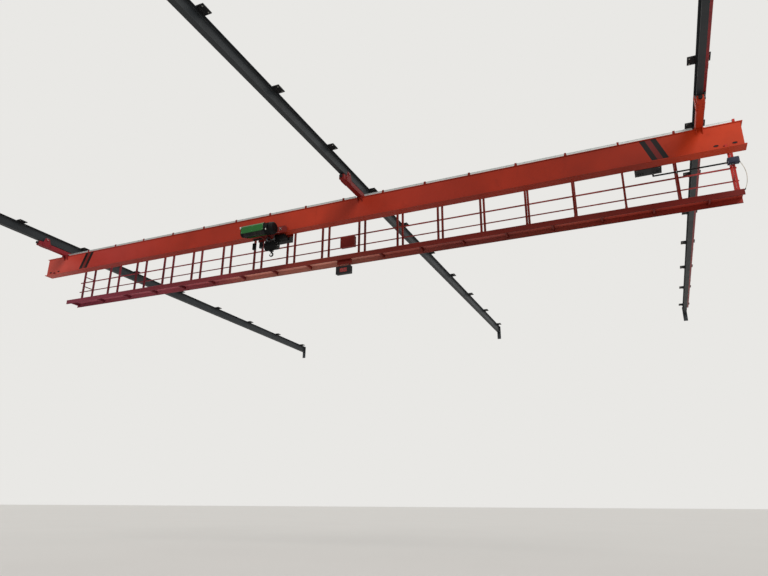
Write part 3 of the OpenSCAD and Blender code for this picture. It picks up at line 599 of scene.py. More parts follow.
DRIVE = enamel("drive_grey", "#303437", 0.46, 0.4, worn="#7b7d7d", size=4.0)
CABINET = enamel("cabinet_grey", "#17181a", 0.54, 0.35, 0.3, "#8a8c8d", size=3.0, shine=0.25)
JUNCTION = enamel("junction_blue", "#18203c", 0.50, 0.35, 0.3, "#80879a", size=4.0)
WEIGHT = enamel("weight_grey", "#202225", 0.58, 0.45, worn="#63605c", size=4.0, shine=0.25)
FORGED = enamel("hook_forged", "#232426", 0.5, 0.2, 0.7, "#8d8b87", size=6.0)
WHEEL = steel("wheel_steel", "#8e9296", grain=(15.0, 240.0, 240.0))
DRUM = steel("drum_steel", "#2b2b2d", oily=0.8, grain=(8.0, 200.0, 200.0))
ZINC_BOLT = steel("bolt_zinc", "#a9a9a4", rough=0.42, oily=0.2, grain=(120.0, 120.0, 120.0))
ZINC = zinc()
BUS = polymer("conductor_red", "#a3262c", rough=0.34, dusty=0.45, grain=90.0)
RUBBER = polymer("buffer_rubber", "#141313", rough=0.7, shine=0.25)
COLLECTOR = polymer("collector_plastic", "#222427", shine=0.25)
CONDUIT = polymer("conduit_black", "#0e0e10", rib=0.008, shine=0.25)
CABLE = polymer("cable_pale", "#c3c0b6", rough=0.45, dusty=0.2)
DISPLAY = polymer("display_black", "#101012", rough=0.45, shine=0.25)
WHITE = polymer("switch_white", "#d2d2cc", rough=0.45, dusty=0.2)
FLOOR = floor_plate()
SCREEN = lit_screen()
ROPE = rope_wire()

# Materials that use the slot of another name
SHARED_SLOT = {
    "truck_red": "crane_red", "crane_red_rail": "crane_red", "walkway_frame_red": "crane_red_dark",
    "hanger_dark": "runway_dark", "hook_forged": "hook_steel", "drum_steel": "wheel_steel",
    "bolt_zinc": "galvanised", "display_screen": "display_black", "wire_rope": "rope_steel",
}


def slot_of(material):
    """The material's name without the number that Blender puts behind a name already taken."""
    name = material.name.split(".")[0]
    return SHARED_SLOT.get(name, name)


# CAD nodes that stay
def dress(material, *names):
    for name in names:
        for place in NODE[name].material_slots:
            place.material = material


dress(RUNWAY, "runway_top_flanges", "runway_webs", "runway_bottom_flanges", "runway_end_stops")
dress(PLATE, "hanger_plates")
dress(BUS, "conductor_bar")
dress(ZINC, "conductor_brackets", "cable_tray", "hook_latch")
dress(RED, "girder_top_flange", "girder_bottom_flange", "girder_end_plates", "lifting_lugs")
dress(RED_WEB, "girder_front_web", "girder_rear_web")
dress(RED_TRUCK, "end_truck_left", "end_truck_middle", "end_truck_right")
dress(RED_DARK, "trolley_stops", "walkway_arms", "walkway_near_posts", "walkway_far_posts")
dress(RED_DARK, "railing_box", "display_bracket")
dress(RED_DARK, "trolley_front_frame", "trolley_rear_frame", "trolley_cross_frame")
dress(RED_FRAME, "walkway_frame")
dress(RED_RAIL, "top_rail", "middle_rail", "end_rails")
dress(WHEEL, "truck_wheels", "trolley_wheels", "upper_sheaves", "block_sheaves")
dress(RUBBER, "truck_buffers")
dress(DRIVE, "travel_drives", "cross_travel_drive")
dress(COLLECTOR, "current_collector")
dress(FLOOR, "walkway_floor")
dress(CABINET, "control_cabinet")
dress(CONDUIT, "supply_conduit")
dress(JUNCTION, "junction_box")
dress(CABLE, "hanging_cable")
dress(DISPLAY, "load_display")
dress(DRUM, "rope_drum")
dress(BLACK, "drum_brackets", "hoist_motor", "trolley_control_box", "hoist_limit_weight", "block_housing")
dress(GREEN, "drum_cover")
dress(WHITE, "limit_switch_box")
dress(WEIGHT, "counterweight")
dress(FORGED, "hook")
dress(ROPE, "hoist_ropes")


# Camera and cord come first
def add_camera():
    data = bpy.data.cameras.new("camera")
    data.sensor_fit = "HORIZONTAL"
    data.sensor_width = 36.0
    data.lens = 623.77 / 768 * data.sensor_width
    data.clip_start = 0.1
    data.clip_end = 4000.0
    camera = bpy.data.objects.new("camera", data)
    right = Vector((0.916844, 0.399209, 0.005458))
    up = Vector((0.127071, -0.304744, 0.94392))
    ahead = Vector((-0.378485, 0.864733, 0.33013))
    place = Vector((7.898, -13.894, -9.911))
    rows = [(right[i], up[i], -ahead[i], place[i]) for i in range(3)]
    camera.matrix_world = Matrix(rows + [(0, 0, 0, 1)])
    bpy.context.scene.collection.objects.link(camera)
    bpy.context.scene.camera = camera


def hanging_cable():
    """The stiff cable is an arc that bulges outwards, with a sleeve at each end."""
    lo, hi = span("hanging_cable")
    top = middle("junction_box").z
    bottom = span("walkway_frame")[1].z - 0.030
    bulge = 0.110
    radius = 0.010
    steps = 24
    chord = top - bottom
    bend = (chord * chord / 4 + bulge * bulge) / (2 * bulge)
    half = math.asin(chord / 2 / bend)
    centre = Vector((hi.x - radius - bend, (lo.y + hi.y) / 2, (top + bottom) / 2))
    path = []
    for i in range(steps + 1):
        a = half - 2 * half * i / steps
        path.append(centre + Vector((math.cos(a), 0, math.sin(a))) * bend)
    jacket = Piece("hanging_cable_jacket", CABLE, smooth=60.0)
    jacket.tube(path, radius, 14)
    cable = jacket.build()
    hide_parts("hanging_cable")
    sleeves = Piece("hanging_cable_sleeves", CONDUIT)
    cone = [(0.017, 0.0), (0.0165, 0.008), (0.0125, 0.035), (0.0108, 0.05)]
    for i, j in ((0, 2), (steps, steps - 2)):
        sleeves.lathe(cone, path[i], path[j] - path[i], 16)
    covers = sleeves.build()


add_camera()
hanging_cable()


# Runways
def runway_details():
    lo, hi = span("runway_bottom_flanges")
    along = (0, hi.y - lo.y, 0)
    half_web = 0.005
    flange = 0.016
    radius = 0.015
    outline = [(0, 0)] + [(radius - radius * s, radius - radius * c) for _, c, s in sweep(6, 20)]
    roots = Piece("runway_root_fillets", RUNWAY, "runway", 50.0)
    seams = Piece("runway_butt_seams", RUNWAY, "runway")
    proud = 0.0015
    for x in RUNWAY_X:
        for s in BOTH:
            for z, up in ((BEAM_BOTTOM + flange, UP), (BEAM_TOP - flange, DOWN)):
                roots.prism(outline, (x + s * half_web, lo.y, z), (s, 0, 0), up, along)
        for y in (lo.y + 9.0, lo.y + 18.0):
            seams.pad((x, y, BEAM_BOTTOM), (FLANGE_HALF + proud, 0.007, (-proud, 0.002)), 0.001)
            for s in BOTH:
                low = (x + s * 0.004, y - 0.006, BEAM_BOTTOM + 0.03)
                seams.box(low, (x + s * 0.0066, y + 0.006, BEAM_TOP - 0.03), 0.001)


def hanger_details():
    plates = Piece("hanger_bolts", ZINC_BOLT, "runway", slot="runway_dark")
    clips = Piece("hanger_clip_bolts", PLATE, "runway")
    for x, y in product(RUNWAY_X, HANGERS):
        for sx, sy in product(BOTH, BOTH):
            at = (x + sx * 0.2, y + sy * 0.1, BEAM_TOP)
            plates.bolt(at, DOWN, 0.02, turn=0.3 * sx)
            plates.rod(at, (at[0], at[1], -0.002), 0.0095, 12)
            at = (x + sx * (FLANGE_HALF + 0.022), y + sy * 0.07, BEAM_TOP - 0.032)
            clips.bolt(at, DOWN, 0.016, turn=0.5 * sy)
        for s in BOTH:
            edge = x + s * (FLANGE_HALF + 0.040)
            clips.bead((edge, y - 0.1, BEAM_TOP), (edge, y + 0.1, BEAM_TOP), (s, 0, 0), DOWN)


def stop_details():
    lo, hi = span("runway_bottom_flanges")
    piece = Piece("end_stop_bolts", PLATE, "runway")
    for x, (y, s) in product(RUNWAY_X, ends(lo.y, hi.y)):
        each(piece.bolt, around(x, 0.07), y + s * 0.02, (-0.44, -0.70), (0, s, 0), 0.016)
        for sx in BOTH:
            face = x + sx * 0.005
            piece.bead((face, y, -0.05), (face, y, -0.37), (sx, 0, 0), (0, -s, 0), 0.010)


def conductor_details():
    lo, hi = span("conductor_bar")
    ribs = Piece("conductor_ribs", BUS, "runway")
    first, last = inside(lo.x, hi.x, 0.010)
    for i in range(5):
        x = first + (last - first) * i / 4
        ribs.box((x - 0.0025, lo.y, lo.z - 0.004), (x + 0.0025, hi.y, lo.z + 0.001), 0.0008)
    for (x, s), z in product(ends(lo.x, hi.x), (lo.z + 0.018, lo.z + 0.042)):
        ribs.box((x - 0.001, lo.y, z - 0.002), (x + s * 0.0025, hi.y, z + 0.002), 0.0008)

    joints = Piece("conductor_joints", COLLECTOR, "runway")
    wall = 0.006
    half = 0.09
    y = lo.y + 3.2
    while y < hi.y - 1:
        for x, s in ends(lo.x, hi.x):
            out = x + s * wall
            joints.box((x, y - half, lo.z + 0.004), (out, y + half, hi.z + 0.004), 0.002)
            each(joints.screw, out, around(y, 0.06), (lo.z + hi.z) / 2, (s, 0, 0), 0.007)
        joints.box((lo.x - wall, y - half, hi.z), (hi.x + wall, y + half, hi.z + 0.004), 0.001)
        y += 4.0
    for y, s in ends(lo.y, hi.y):
        joints.box((lo.x - 0.004, y, lo.z - 0.004), (hi.x + 0.004, y + s * 0.03, hi.z + 0.004), 0.004)

    straps = Piece("conductor_straps", ZINC, "runway")
    thick = 0.003
    half = 0.018
    for y in HANGERS:
        for x, s in ends(lo.x, hi.x):
            straps.box((x, y - half, lo.z + 0.01), (x + s * thick, y + half, hi.z + thick), 0.001)
        straps.box((lo.x - thick, y - half, hi.z), (hi.x + thick, y + half, hi.z + thick), 0.001)
        straps.bolt(((lo.x + hi.x) / 2 - 0.024, y, hi.z + thick), UP, 0.008)


# Girder
def girder_details():
    lo, hi = span("girder_front_web")
    rear = span("girder_rear_web")[1].y
    beads = Piece("girder_weld_beads", RED)
    for y, s in ends(lo.y, rear):
        for z, up in ((LIP_TOP, UP), (hi.z, DOWN)):
            beads.bead((lo.x, y, z), (hi.x, y, z), (0, s, 0), up, 0.009)
        for x in (lo.x + 6.16, lo.x + 12.32, lo.x + 18.48):
            beads.box((x - 0.007, y - 0.001, lo.z + 0.01), (x + 0.007, y + s * 0.0018, hi.z - 0.01), 0.0008)
    for x in (lo.x + 6.6, lo.x + 12.8, lo.x + 18.9):
        beads.pad((x, BRIDGE_Y, GIRDER_BOTTOM), (0.008, 0.176, (-0.0018, 0.001)), 0.0008)

    plugs = Piece("web_hole_plugs", RUBBER)
    rims = Piece("web_hole_rims", RED, smooth=60.0)
    oval = [(0.058 * c, 0.026 * s) for c, s in circle(28)]
    z = LIP_TOP + 0.09
    for away, (y, out) in product((-12.14, -11.71, 11.71, 12.14), ends(lo.y, rear)):
        x = (lo.x + hi.x) / 2 + away
        plugs.prism(oval, (x, y, z), (1, 0, 0), UP, (0, out * 0.004, 0))
        rims.tube([(x + 1.1 * a, y + out * 0.003, z + 1.15 * b) for a, b in oval], 0.004, 6, closed=True)

    pads = Piece("trolley_stop_pads", RUBBER)
    disc = [(0.017, 0), (0.019, 0.003), (0.019, 0.008), (0.014, 0.011)]
    stop_lo, stop_hi = span("trolley_stops")
    for x, s in ends(stop_lo.x + 0.06, stop_hi.x - 0.06):
        for y in around(BRIDGE_Y, 0.1525):
            pads.lathe(disc, (x, y, LIP_TOP + 0.036), (-s, 0, 0), 18)

    covers = Piece("girder_end_covers", RED)
    for x, s in ends(lo.x, hi.x):
        face = x + s * 0.006
        covers.box((x, BRIDGE_Y - 0.085, lo.z + 0.22), (face, BRIDGE_Y + 0.085, hi.z - 0.22), 0.004)
        each(covers.bolt, face, around(BRIDGE_Y, 0.065), inside(lo.z, hi.z, 0.24), (s, 0, 0), 0.010)


def cleat(plates, bolts, at, s, half, thick, height, level, sizes):
    """An angle in the corner between a floor and a wall that faces s along x, with a bolt in each leg."""
    x, y, z = at
    for width, top in ((0.045, thick), (thick, height)):
        plates.box((x, y - half, z), (x + s * width, y + half, z + top), 0.001)
    bolts.bolt((x + s * 0.026, y, z + thick), UP, sizes[0])
    bolts.bolt((x + s * thick, y, z + level), (s, 0, 0), sizes[1])


def arm_details():
    lo, hi = span("walkway_arms")
    cleats = Piece("arm_cleats", RED_DARK)
    bolts = Piece("arm_cleat_bolts", ZINC_BOLT)
    caps = Piece("arm_end_caps", RED_DARK)
    for x in FRAMES:
        for s, y in product(BOTH, (BRIDGE_Y, BRIDGE_Y + 0.115)):
            at = (x + s * ARM_HALF, y, GIRDER_TOP)
            cleat(cleats, bolts, at, s, 0.03, 0.006, 0.055, 0.038, (0.012, 0.010))
        for y, s in ends(lo.y, hi.y):
            caps.box((x - ARM_HALF, y, GIRDER_TOP), (x + ARM_HALF, y + s * 0.004, GIRDER_TOP + 0.08), 0.002)


# Walkway
def walkway_details():
    near_lo, near_hi = span("walkway_near_posts")
    far_lo, far_hi = span("walkway_far_posts")
    gussets = Piece("post_gussets", RED_DARK)
    feet = Piece("post_feet", RED_DARK)
    sleeves = Piece("rail_sleeves", RED_RAIL)
    bolts = Piece("walkway_bolts", ZINC_BOLT)
    leg = 0.05
    toe = 0.008
    outline = [(0, 0), (leg, 0), (leg, -toe), (toe, -leg), (0, -leg)]
    for x, (y, s) in product(FRAMES, (*ends(near_lo.y, near_hi.y), (far_lo.y, -1))):
        gussets.prism(outline, (x - 0.003, y, GIRDER_TOP), (0, s, 0), UP, (0.006, 0, 0))
    for x, (front, back), s in product(FRAMES, ((near_lo.y, near_hi.y), (far_lo.y, far_hi.y)), BOTH):
        half = (back - front) / 2
        at = (x + s * half, (front + back) / 2, FLOOR_TOP)
        cleat(feet, bolts, at, s, half - 0.004, 0.005, 0.05, 0.034, (0.010, 0.008))

    proud = 0.002
    for node in ("top_rail", "middle_rail"):
        lo, hi = span(node)
        for i, x in enumerate(FRAMES):
            bolts.bolt((x, hi.y, (lo.z + hi.z) / 2), BACK, 0.008, turn=0.2 * i)
        for i in (2, 6, 10, 14):
            x = FRAMES[i] - PITCH / 2
            low = (x - 0.07, lo.y - proud, lo.z - proud)
            sleeves.box(low, (x + 0.07, hi.y + proud, hi.z + proud), 0.0015)
        for x, s in ends(lo.x, hi.x):
            sleeves.box((x, lo.y, lo.z), (x + s * 0.004, hi.y, hi.z), 0.0015)

    under = Piece("walkway_frame_bolts", RED_FRAME)
    lips = Piece("walkway_frame_lips", RED_FRAME)
    lo, hi = span("walkway_frame")
    bars = [x - PITCH / 2 for x in FRAMES]
    each(under.bolt, bars, (lo.y + 0.07, lo.y + 0.28, lo.y + 0.49), hi.z - 0.10, DOWN, 0.008)
    for y, s in ends(lo.y, hi.y):
        each(under.bolt, bars, y, (hi.z - 0.080, hi.z - 0.020), (0, s, 0), 0.008)
        lips.box((lo.x, y, lo.z), (hi.x, y - s * 0.03, lo.z + 0.005), 0.0015)


def tray_details():
    """Lids between the arms, cut where a runway passes, with clips along their front edge."""
    lo, hi = span("cable_tray")
    lids = Piece("cable_tray_lids", ZINC)
    clips = Piece("cable_tray_clips", ZINC)
    gap = ARM_HALF + 0.011
    clear = 0.17
    for right, left in zip(FRAMES, FRAMES[1:]):
        parts = [(left + gap, right - gap)]
        for x in RUNWAY_X:
            cut = []
            for a, b in parts:
                if a < x - clear and x + clear < b:
                    cut += [(a, x - clear), (x + clear, b)]
                else:
                    cut.append((a, b))
            parts = cut
        for a, b in parts:
            lids.box((a, lo.y - 0.002, hi.z), (b, hi.y + 0.002, hi.z + 0.002), 0.0008)
            for y, s in ends(lo.y, hi.y):
                lids.box((a, y + s * 0.0005, hi.z - 0.016), (b, y + s * 0.0035, hi.z + 0.002), 0.0008)
            count = max(1, int((b - a) / 0.4))
            for k in range(count):
                x = a + (b - a) * (k + 0.5) / count
                clips.pad((x, lo.y, hi.z), (0.012, (-0.006, -0.001), (-0.026, 0.004)), 0.001)
                clips.screw((x, lo.y - 0.006, hi.z - 0.018), FRONT, 0.005)


# End trucks
def truck_details():
    wheel_lo, wheel_hi = span("truck_wheels")
    truck_lo, truck_hi = span("end_truck_middle")
    wheel_y = (wheel_hi.y - wheel_lo.y) / 2 - 0.088
    half_length = (truck_hi.y - truck_lo.y) / 2
    out = (truck_hi.x - truck_lo.x) / 2
    bolts = Piece("truck_bolts", RED_DARK, slot="crane_red")
    keepers = Piece("axle_keepers", ZINC_BOLT)
    welds = Piece("truck_weld_beads", RED_TRUCK)
    mounts = Piece("truck_mounts", RED_TRUCK)
    rims = Piece("wheel_hub_rings", WHEEL)
    weld_z = GIRDER_TOP + 0.02
    for x, sx, sy in product(RUNWAY_X, BOTH, BOTH):
        away = (sx, 0, 0)
        y = BRIDGE_Y + sy * wheel_y
        rows = (WHEEL_Z - 0.17, WHEEL_Z - 0.235)
        each(bolts.bolt, x + sx * (out - 0.016), around(y, 0.115), rows, away, 0.014)
        for dy in (-0.12, 0.0, 0.12):
            bolts.bolt((x + sx * 0.055, y + dy, GIRDER_TOP), DOWN, 0.016, turn=0.4 * dy)
        keepers.pad((x + sx * (out + 0.003), y, WHEEL_Z), (0.003, 0.03, 0.012), 0.002)
        each(keepers.bolt, x + sx * (out + 0.006), around(y, 0.02), WHEEL_Z, away, 0.006)
        side = x + sx * TRUCK_HALF
        welds.bead((side, y - 0.16, weld_z), (side, y + 0.16, weld_z), away, UP, 0.007)
        rims.ring((x + sx * (out - 0.0295), y, WHEEL_Z), away, 0.045, 0.066, 0.003)

    for x, s in product(RUNWAY_X, BOTH):
        end = BRIDGE_Y + s * half_length
        face = end + s * 0.010
        mounts.box((x - 0.07, end, GIRDER_TOP + 0.005), (x + 0.07, face, GIRDER_TOP + 0.145), 0.003)
        each(mounts.bolt, around(x, 0.055), face, (GIRDER_TOP + 0.02, GIRDER_TOP + 0.13), (0, s, 0), 0.010)

    flange = span("girder_top_flange")[0]
    web = span("girder_front_web")[0].y - BRIDGE_Y
    lip = flange.y - BRIDGE_Y
    bracket = [
        (-web, flange.z), (-lip, flange.z), (-lip, GIRDER_TOP), (0.24, GIRDER_TOP),
        (0.235, GIRDER_TOP - 0.012), (0.014 - web, GIRDER_TOP - 0.17), (-web, GIRDER_TOP - 0.17),
    ]
    top = GIRDER_TOP + 0.012
    for x, sx, sy in product(RUNWAY_X, BOTH, BOTH):
        side = x + sx * TRUCK_HALF
        low = (side, BRIDGE_Y + sy * 0.05, GIRDER_TOP)
        mounts.box(low, (side + sx * 0.055, BRIDGE_Y + sy * 0.14, top), 0.002)
        at = (side, BRIDGE_Y + sy * 0.095 - 0.004, top)
        mounts.prism([(0, 0), (0.05, 0), (0, 0.09)], at, (sx, 0, 0), UP, (0, 0.008, 0))
        for dy in (0.075, 0.118):
            mounts.bolt((side + sx * 0.033, BRIDGE_Y + sy * dy, top), UP, 0.014)
        at = (side - sx * 0.012 - 0.005, BRIDGE_Y, 0.0)
        mounts.prism(bracket, at, (0, sy, 0), UP, (0.010, 0, 0))

    buffers = Piece("buffer_ribs", RUBBER)
    lo, hi = span("truck_buffers")
    for x, (y, s), back in product(RUNWAY_X, ends(lo.y, hi.y), (0.014, 0.034, 0.052)):
        buffers.ring((x, y - s * back, GIRDER_TOP + 0.075), (0, s, 0), 0.043, 0.0485, 0.008, 36)


def finned_motor(piece, grille, at, axis, radius, length, count, fin):
    """Cooling fins on a motor barrel and a cowl with rings at its far end."""
    u, v, w = basis(axis)
    outer = radius + fin
    cowl = 0.045
    outline = [(radius - 0.004, -0.0016), (outer, -0.0010), (outer, 0.0010), (radius - 0.004, 0.0016)]
    for c, s in circle(count):
        side = u * c + v * s
        piece.prism(outline, at, side, w.cross(side), w * length)
    end = Vector(at) + w * length
    piece.lathe([(outer, 0), (outer + 0.002, 0.003), (outer + 0.002, cowl)], end, w, 32)
    for part in (0.25, 0.5, 0.75):
        grille.ring(end + w * cowl, w, radius * part, radius * part + 0.004, 0.003, 28, 0.001)
    hub = end + w * (cowl + 0.0015)
    for c, s in circle(4, math.pi / 4):
        grille.rod(hub, hub + (u * c + v * s) * radius, 0.002, 8)


def drive_details():
    hi = span("travel_drives")[1]
    motor = Piece("travel_motor_fins", DRIVE)
    grille = Piece("travel_motor_grilles", BLACK)
    trims = Piece("travel_gear_covers", DRIVE)
    reach = hi.x - RUNWAY_X[2]
    gear_y = hi.y - 0.10
    y = hi.y - 0.25
    z = WHEEL_Z - 0.01
    for x, s in ends(RUNWAY_X[0], RUNWAY_X[2]):
        mid = x + s * (reach - 0.055)
        finned_motor(motor, grille, (mid, y, z), FRONT, 0.072, 0.19, 26, 0.008)
        motor.box((mid - 0.035, y - 0.14, z + 0.07), (mid + 0.035, y - 0.05, z + 0.112), 0.004)
        motor.cone_gland((mid, y - 0.14, z + 0.092), FRONT, 0.008)
        face = x + s * reach
        rows = (WHEEL_Z - 0.085, WHEEL_Z + 0.065)
        each(trims.bolt, face, around(gear_y, 0.08), rows, (s, 0, 0), 0.010)
        trims.lathe([(0.055, 0), (0.055, 0.006), (0.04, 0.010)], (face, gear_y, WHEEL_Z), (s, 0, 0), 28)
        trims.bolt((x + s * (reach - 0.034), gear_y + 0.10, WHEEL_Z - 0.05), BACK, 0.010)


def collector_details():
    lo, hi = span("current_collector")
    shoes = Piece("collector_shoes", WHEEL)
    springs = Piece("collector_springs", ZINC_BOLT, smooth=60.0)
    for i in range(4):
        x = hi.x - 0.046 + 0.0134 * i
        shoes.box((x - 0.004, lo.y + 0.02, hi.z), (x + 0.004, hi.y - 0.02, hi.z + 0.004), 0.001)
    for y in inside(lo.y, hi.y, 0.03):
        x = hi.x - 0.026
        z = hi.z - 0.020
        coil = [(x + 0.009 * c, y + 0.009 * s, z - 0.0009 * k) for k, c, s in sweep(60, 12)]
        springs.tube(coil, 0.0013, 6)


# Control gear
def cabinet_details():
    lo, hi = span("control_cabinet")
    trims = Piece("cabinet_trims", CABINET)
    metal = Piece("cabinet_handles", ZINC_BOLT)
    width = (hi.x - lo.x) / 2
    z = (lo.z + hi.z) / 2
    for i in (0, 1):
        x0 = lo.x + 0.012 + i * (width - 0.008)
        x1 = x0 + width - 0.016
        hinge, handle = (x1, x0 + 0.035) if i else (x0, x1 - 0.035)
        for at in inside(lo.z, hi.z, 0.07):
            metal.rod((hinge, lo.y + 0.002, at - 0.02), (hinge, lo.y + 0.002, at + 0.02), 0.006, 14)
        metal.lathe([(0.016, 0), (0.016, 0.004), (0.010, 0.008)], (handle, lo.y, z), FRONT, 18)
        metal.box((handle - 0.007, lo.y - 0.020, z - 0.05), (handle + 0.007, lo.y - 0.008, z + 0.012), 0.003)
        left, right = inside(x0, x1, 0.03)
        low, high = inside(lo.z, hi.z, 0.045)
        seam = [(left, lo.y, low), (right, lo.y, low), (right, lo.y, high), (left, lo.y, high)]
        trims.tube(seam, 0.002, 6, closed=True)
        for k in range(5):
            at = ((x0 + x1) / 2, lo.y, lo.z + 0.07 + 0.014 * k)
            trims.pad(at, (0.06, (-0.003, 0.001), (0, 0.006)), 0.0012)
    trims.box((lo.x - 0.006, lo.y - 0.004, hi.z - 0.010), (hi.x + 0.006, lo.y + 0.016, hi.z), 0.002)
    glands = (lo.x + 0.09, lo.x + 0.15, lo.x + 0.21, hi.x - 0.12)
    each(trims.cone_gland, glands, (lo.y + hi.y) / 2 + 0.05, lo.z, DOWN, 0.012)
    each(metal.bolt, inside(lo.x, hi.x, 0.06), (lo.y + 0.06, hi.y - 0.05), lo.z, DOWN, 0.010)


def conduit_details():
    lo, hi = span("supply_conduit")
    clips = Piece("conduit_clips", ZINC)
    radius = 0.0225
    hoop = radius + 0.002
    x = FRAMES[1]
    y = hi.y - radius
    z = lo.z + radius
    for shift in (-0.008, 0.0, 0.008):
        arc = [(x + shift, y - hoop * c, z + hoop * s) for _, c, s in sweep(13, 24, -math.pi / 2)]
        clips.tube(arc, 0.0025, 6)
    front = hi.y - 0.003
    for s in BOTH:
        clips.box((x - 0.012, front, z + s * 0.024), (x + 0.012, hi.y, z + s * 0.048), 0.001)
        clips.screw((x, front, z + s * 0.039), FRONT, 0.005)
    clips.lathe([(0.034, 0), (0.034, 0.010), (0.027, 0.014)], (lo.x + radius, y, hi.z), DOWN, 24)
    clips.cone_gland((hi.x, y, z), (-1, 0, 0), 0.024)


def junction_details():
    lo, hi = span("junction_box")
    lid = Piece("junction_box_lid", JUNCTION)
    screws = Piece("junction_box_screws", ZINC_BOLT)
    face = lo.y - 0.016
    lid.box((lo.x - 0.003, face, lo.z - 0.003), (hi.x + 0.003, lo.y, hi.z + 0.003), 0.006)
    lid.box((lo.x + 0.03, face - 0.004, lo.z + 0.03), (hi.x - 0.03, face + 0.001, hi.z - 0.03), 0.003)
    each(screws.screw, inside(lo.x, hi.x, 0.016), face, inside(lo.z, hi.z, 0.016), FRONT, 0.007)
    each(screws.cone_gland, (lo.x + 0.06, lo.x + 0.12), (lo.y + hi.y) / 2, lo.z, DOWN, 0.011)


def display_details():
    lo, hi = span("load_display")
    x, _, z = (lo + hi) / 2
    screen = Piece("display_screen", SCREEN)
    screen.box((x - 0.134, lo.y + 0.0035, z - 0.069), (x + 0.134, lo.y + 0.0078, z + 0.069), 0.0015)

    trims = Piece("display_frame", DISPLAY)
    depth = (-0.004, 0.001)
    for s in BOTH:
        trims.pad((x, lo.y, z + s * 0.080), (0.150, depth, 0.005), 0.0015)
        trims.pad((x + s * 0.145, lo.y, z), (0.005, depth, 0.075), 0.0015)
    each(trims.screw, around(x, 0.262), lo.y, around(z, 0.122), FRONT, 0.007)
    for k, side in product(range(9), inside(lo.x, hi.x, 0.007)):
        trims.pad((side, lo.y + 0.037 + 0.009 * k, z), (0.004, 0.002, 0.08), 0.0012)
    trims.cone_gland((x - 0.05, hi.y - 0.03, hi.z - 0.008), UP, 0.010)

    bolts = Piece("display_bracket_bolts", RED_DARK)
    corner, far = span("display_bracket")
    face = lo.y + 0.080
    top = far.z
    for s in BOTH:
        each(bolts.bolt, x + s * 0.2, face - 0.004, (top - 0.151, top - 0.133), FRONT, 0.008)
        each(bolts.bolt, x + s * 0.22, (corner.y + 0.03, corner.y + 0.10), top - 0.008, DOWN, 0.010)
        at = (x + s * 0.24 - 0.003, face + 0.004, top - 0.008)
        bolts.prism([(0, 0), (0.04, 0), (0, -0.09)], at, BACK, UP, (0.006, 0, 0))


def railing_box_details():
    lo, hi = span("railing_box")
    lid = Piece("railing_box_lid", RED_RAIL)
    metal = Piece("railing_box_latches", ZINC_BOLT)
    left, right = inside(lo.x, hi.x, 0.008)
    back = hi.y - 0.008
    lid.box((left - 0.006, lo.y + 0.01, hi.z), (right + 0.006, back + 0.006, hi.z + 0.008), 0.003)
    hinge = (lo.y + 0.012, hi.z + 0.009)
    for x in inside(left, right, 0.12):
        metal.box((x - 0.012, back + 0.006, hi.z - 0.045), (x + 0.012, back + 0.012, hi.z + 0.004), 0.002)
        metal.rod((x - 0.03, *hinge), (x + 0.03, *hinge), 0.005, 12)
    each(metal.bolt, inside(left, right, 0.05), back, lo.z + 0.06, BACK, 0.010)


# Hoist trolley
HUB = [(0.024, 0), (0.024, 0.006), (0.016, 0.010)]


def rope_drum():
    """A drum with a flange at each end and grooves between them, with rope wound on part of it."""
    lo, hi = span("rope_drum")
    y, z = middle("rope_drum").yz
    length = hi.x - lo.x
    radius = 0.150
    groove = 0.014
    flange = [
        (0.0, 0.0), (0.034, 0.0), (0.034, 0.011), (0.163, 0.011), (0.165, 0.013), (0.165, 0.020),
        (0.163, 0.022), (radius, 0.022),
    ]
    profile = list(flange)
    along = 0.028
    while along < length - 0.036:
        for part, depth in ((0.0, 0.0), (0.2, 0.0022), (0.5, 0.0040), (0.8, 0.0022)):
            profile.append((radius - depth, along + part * groove))
        along += groove
    profile += [(r, length - t) for r, t in reversed(flange)]
    piece = Piece("grooved_rope_drum", DRUM, "trolley", 25.0)
    piece.lathe(profile, (lo.x, y, z), (1, 0, 0), 48)
    drum = piece.build()
    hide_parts("rope_drum")
    wound = Piece("drum_rope", ROPE, "trolley", 60.0)
    reach = radius + 0.0035
    turns = 26
    start = lo.x + 0.40
    coil = [(start + groove * k / 20, y + reach * c, z + reach * s) for k, c, s in sweep(turns * 20 + 1, 20)]
    wound.tube(coil, 0.006, 7)


def cover_details():
    lo, hi = span("drum_cover")
    ribs = Piece("drum_cover_ribs", GREEN, "trolley")
    bolts = Piece("drum_cover_bolts", ZINC_BOLT, "trolley")
    x, y, _ = (lo + hi) / 2
    for face, s in ends(lo.y, hi.y):
        each(bolts.bolt, (lo.x + 0.02, x, hi.x - 0.02), face, (lo.z + 0.05, hi.z - 0.11), (0, s, 0), 0.008)
        ribs.box((lo.x, face, lo.z), (hi.x, face + s * 0.006, lo.z + 0.022), 0.002)
    for rib in (lo.x + 0.22, lo.x + 0.43, lo.x + 0.64):
        ribs.box((rib - 0.016, lo.y - 0.003, lo.z + 0.03), (rib + 0.016, lo.y + 0.001, hi.z - 0.085), 0.0025)
    handle = [(x - 0.06 * c, y - 0.03, hi.z + 0.032 * s) for _, c, s in sweep(13, 24)]
    ribs.tube(handle, 0.005, 8)

    gear = Piece("hoist_gear_cover", BLACK, "trolley")
    face = span("drum_brackets")[0].x
    y, z = middle("rope_drum").yz
    out = (-1, 0, 0)
    for c, s in circle(8):
        gear.bolt((face + 0.060, y + 0.112 * c, z - 0.02 + 0.112 * s), out, 0.010)
    gear.lathe([(0.075, 0), (0.075, 0.006), (0.06, 0.012), (0.0, 0.014)], (face, y, z - 0.02), out, 32)
    gear.bolt((face, y + 0.10, z + 0.02), out, 0.010)


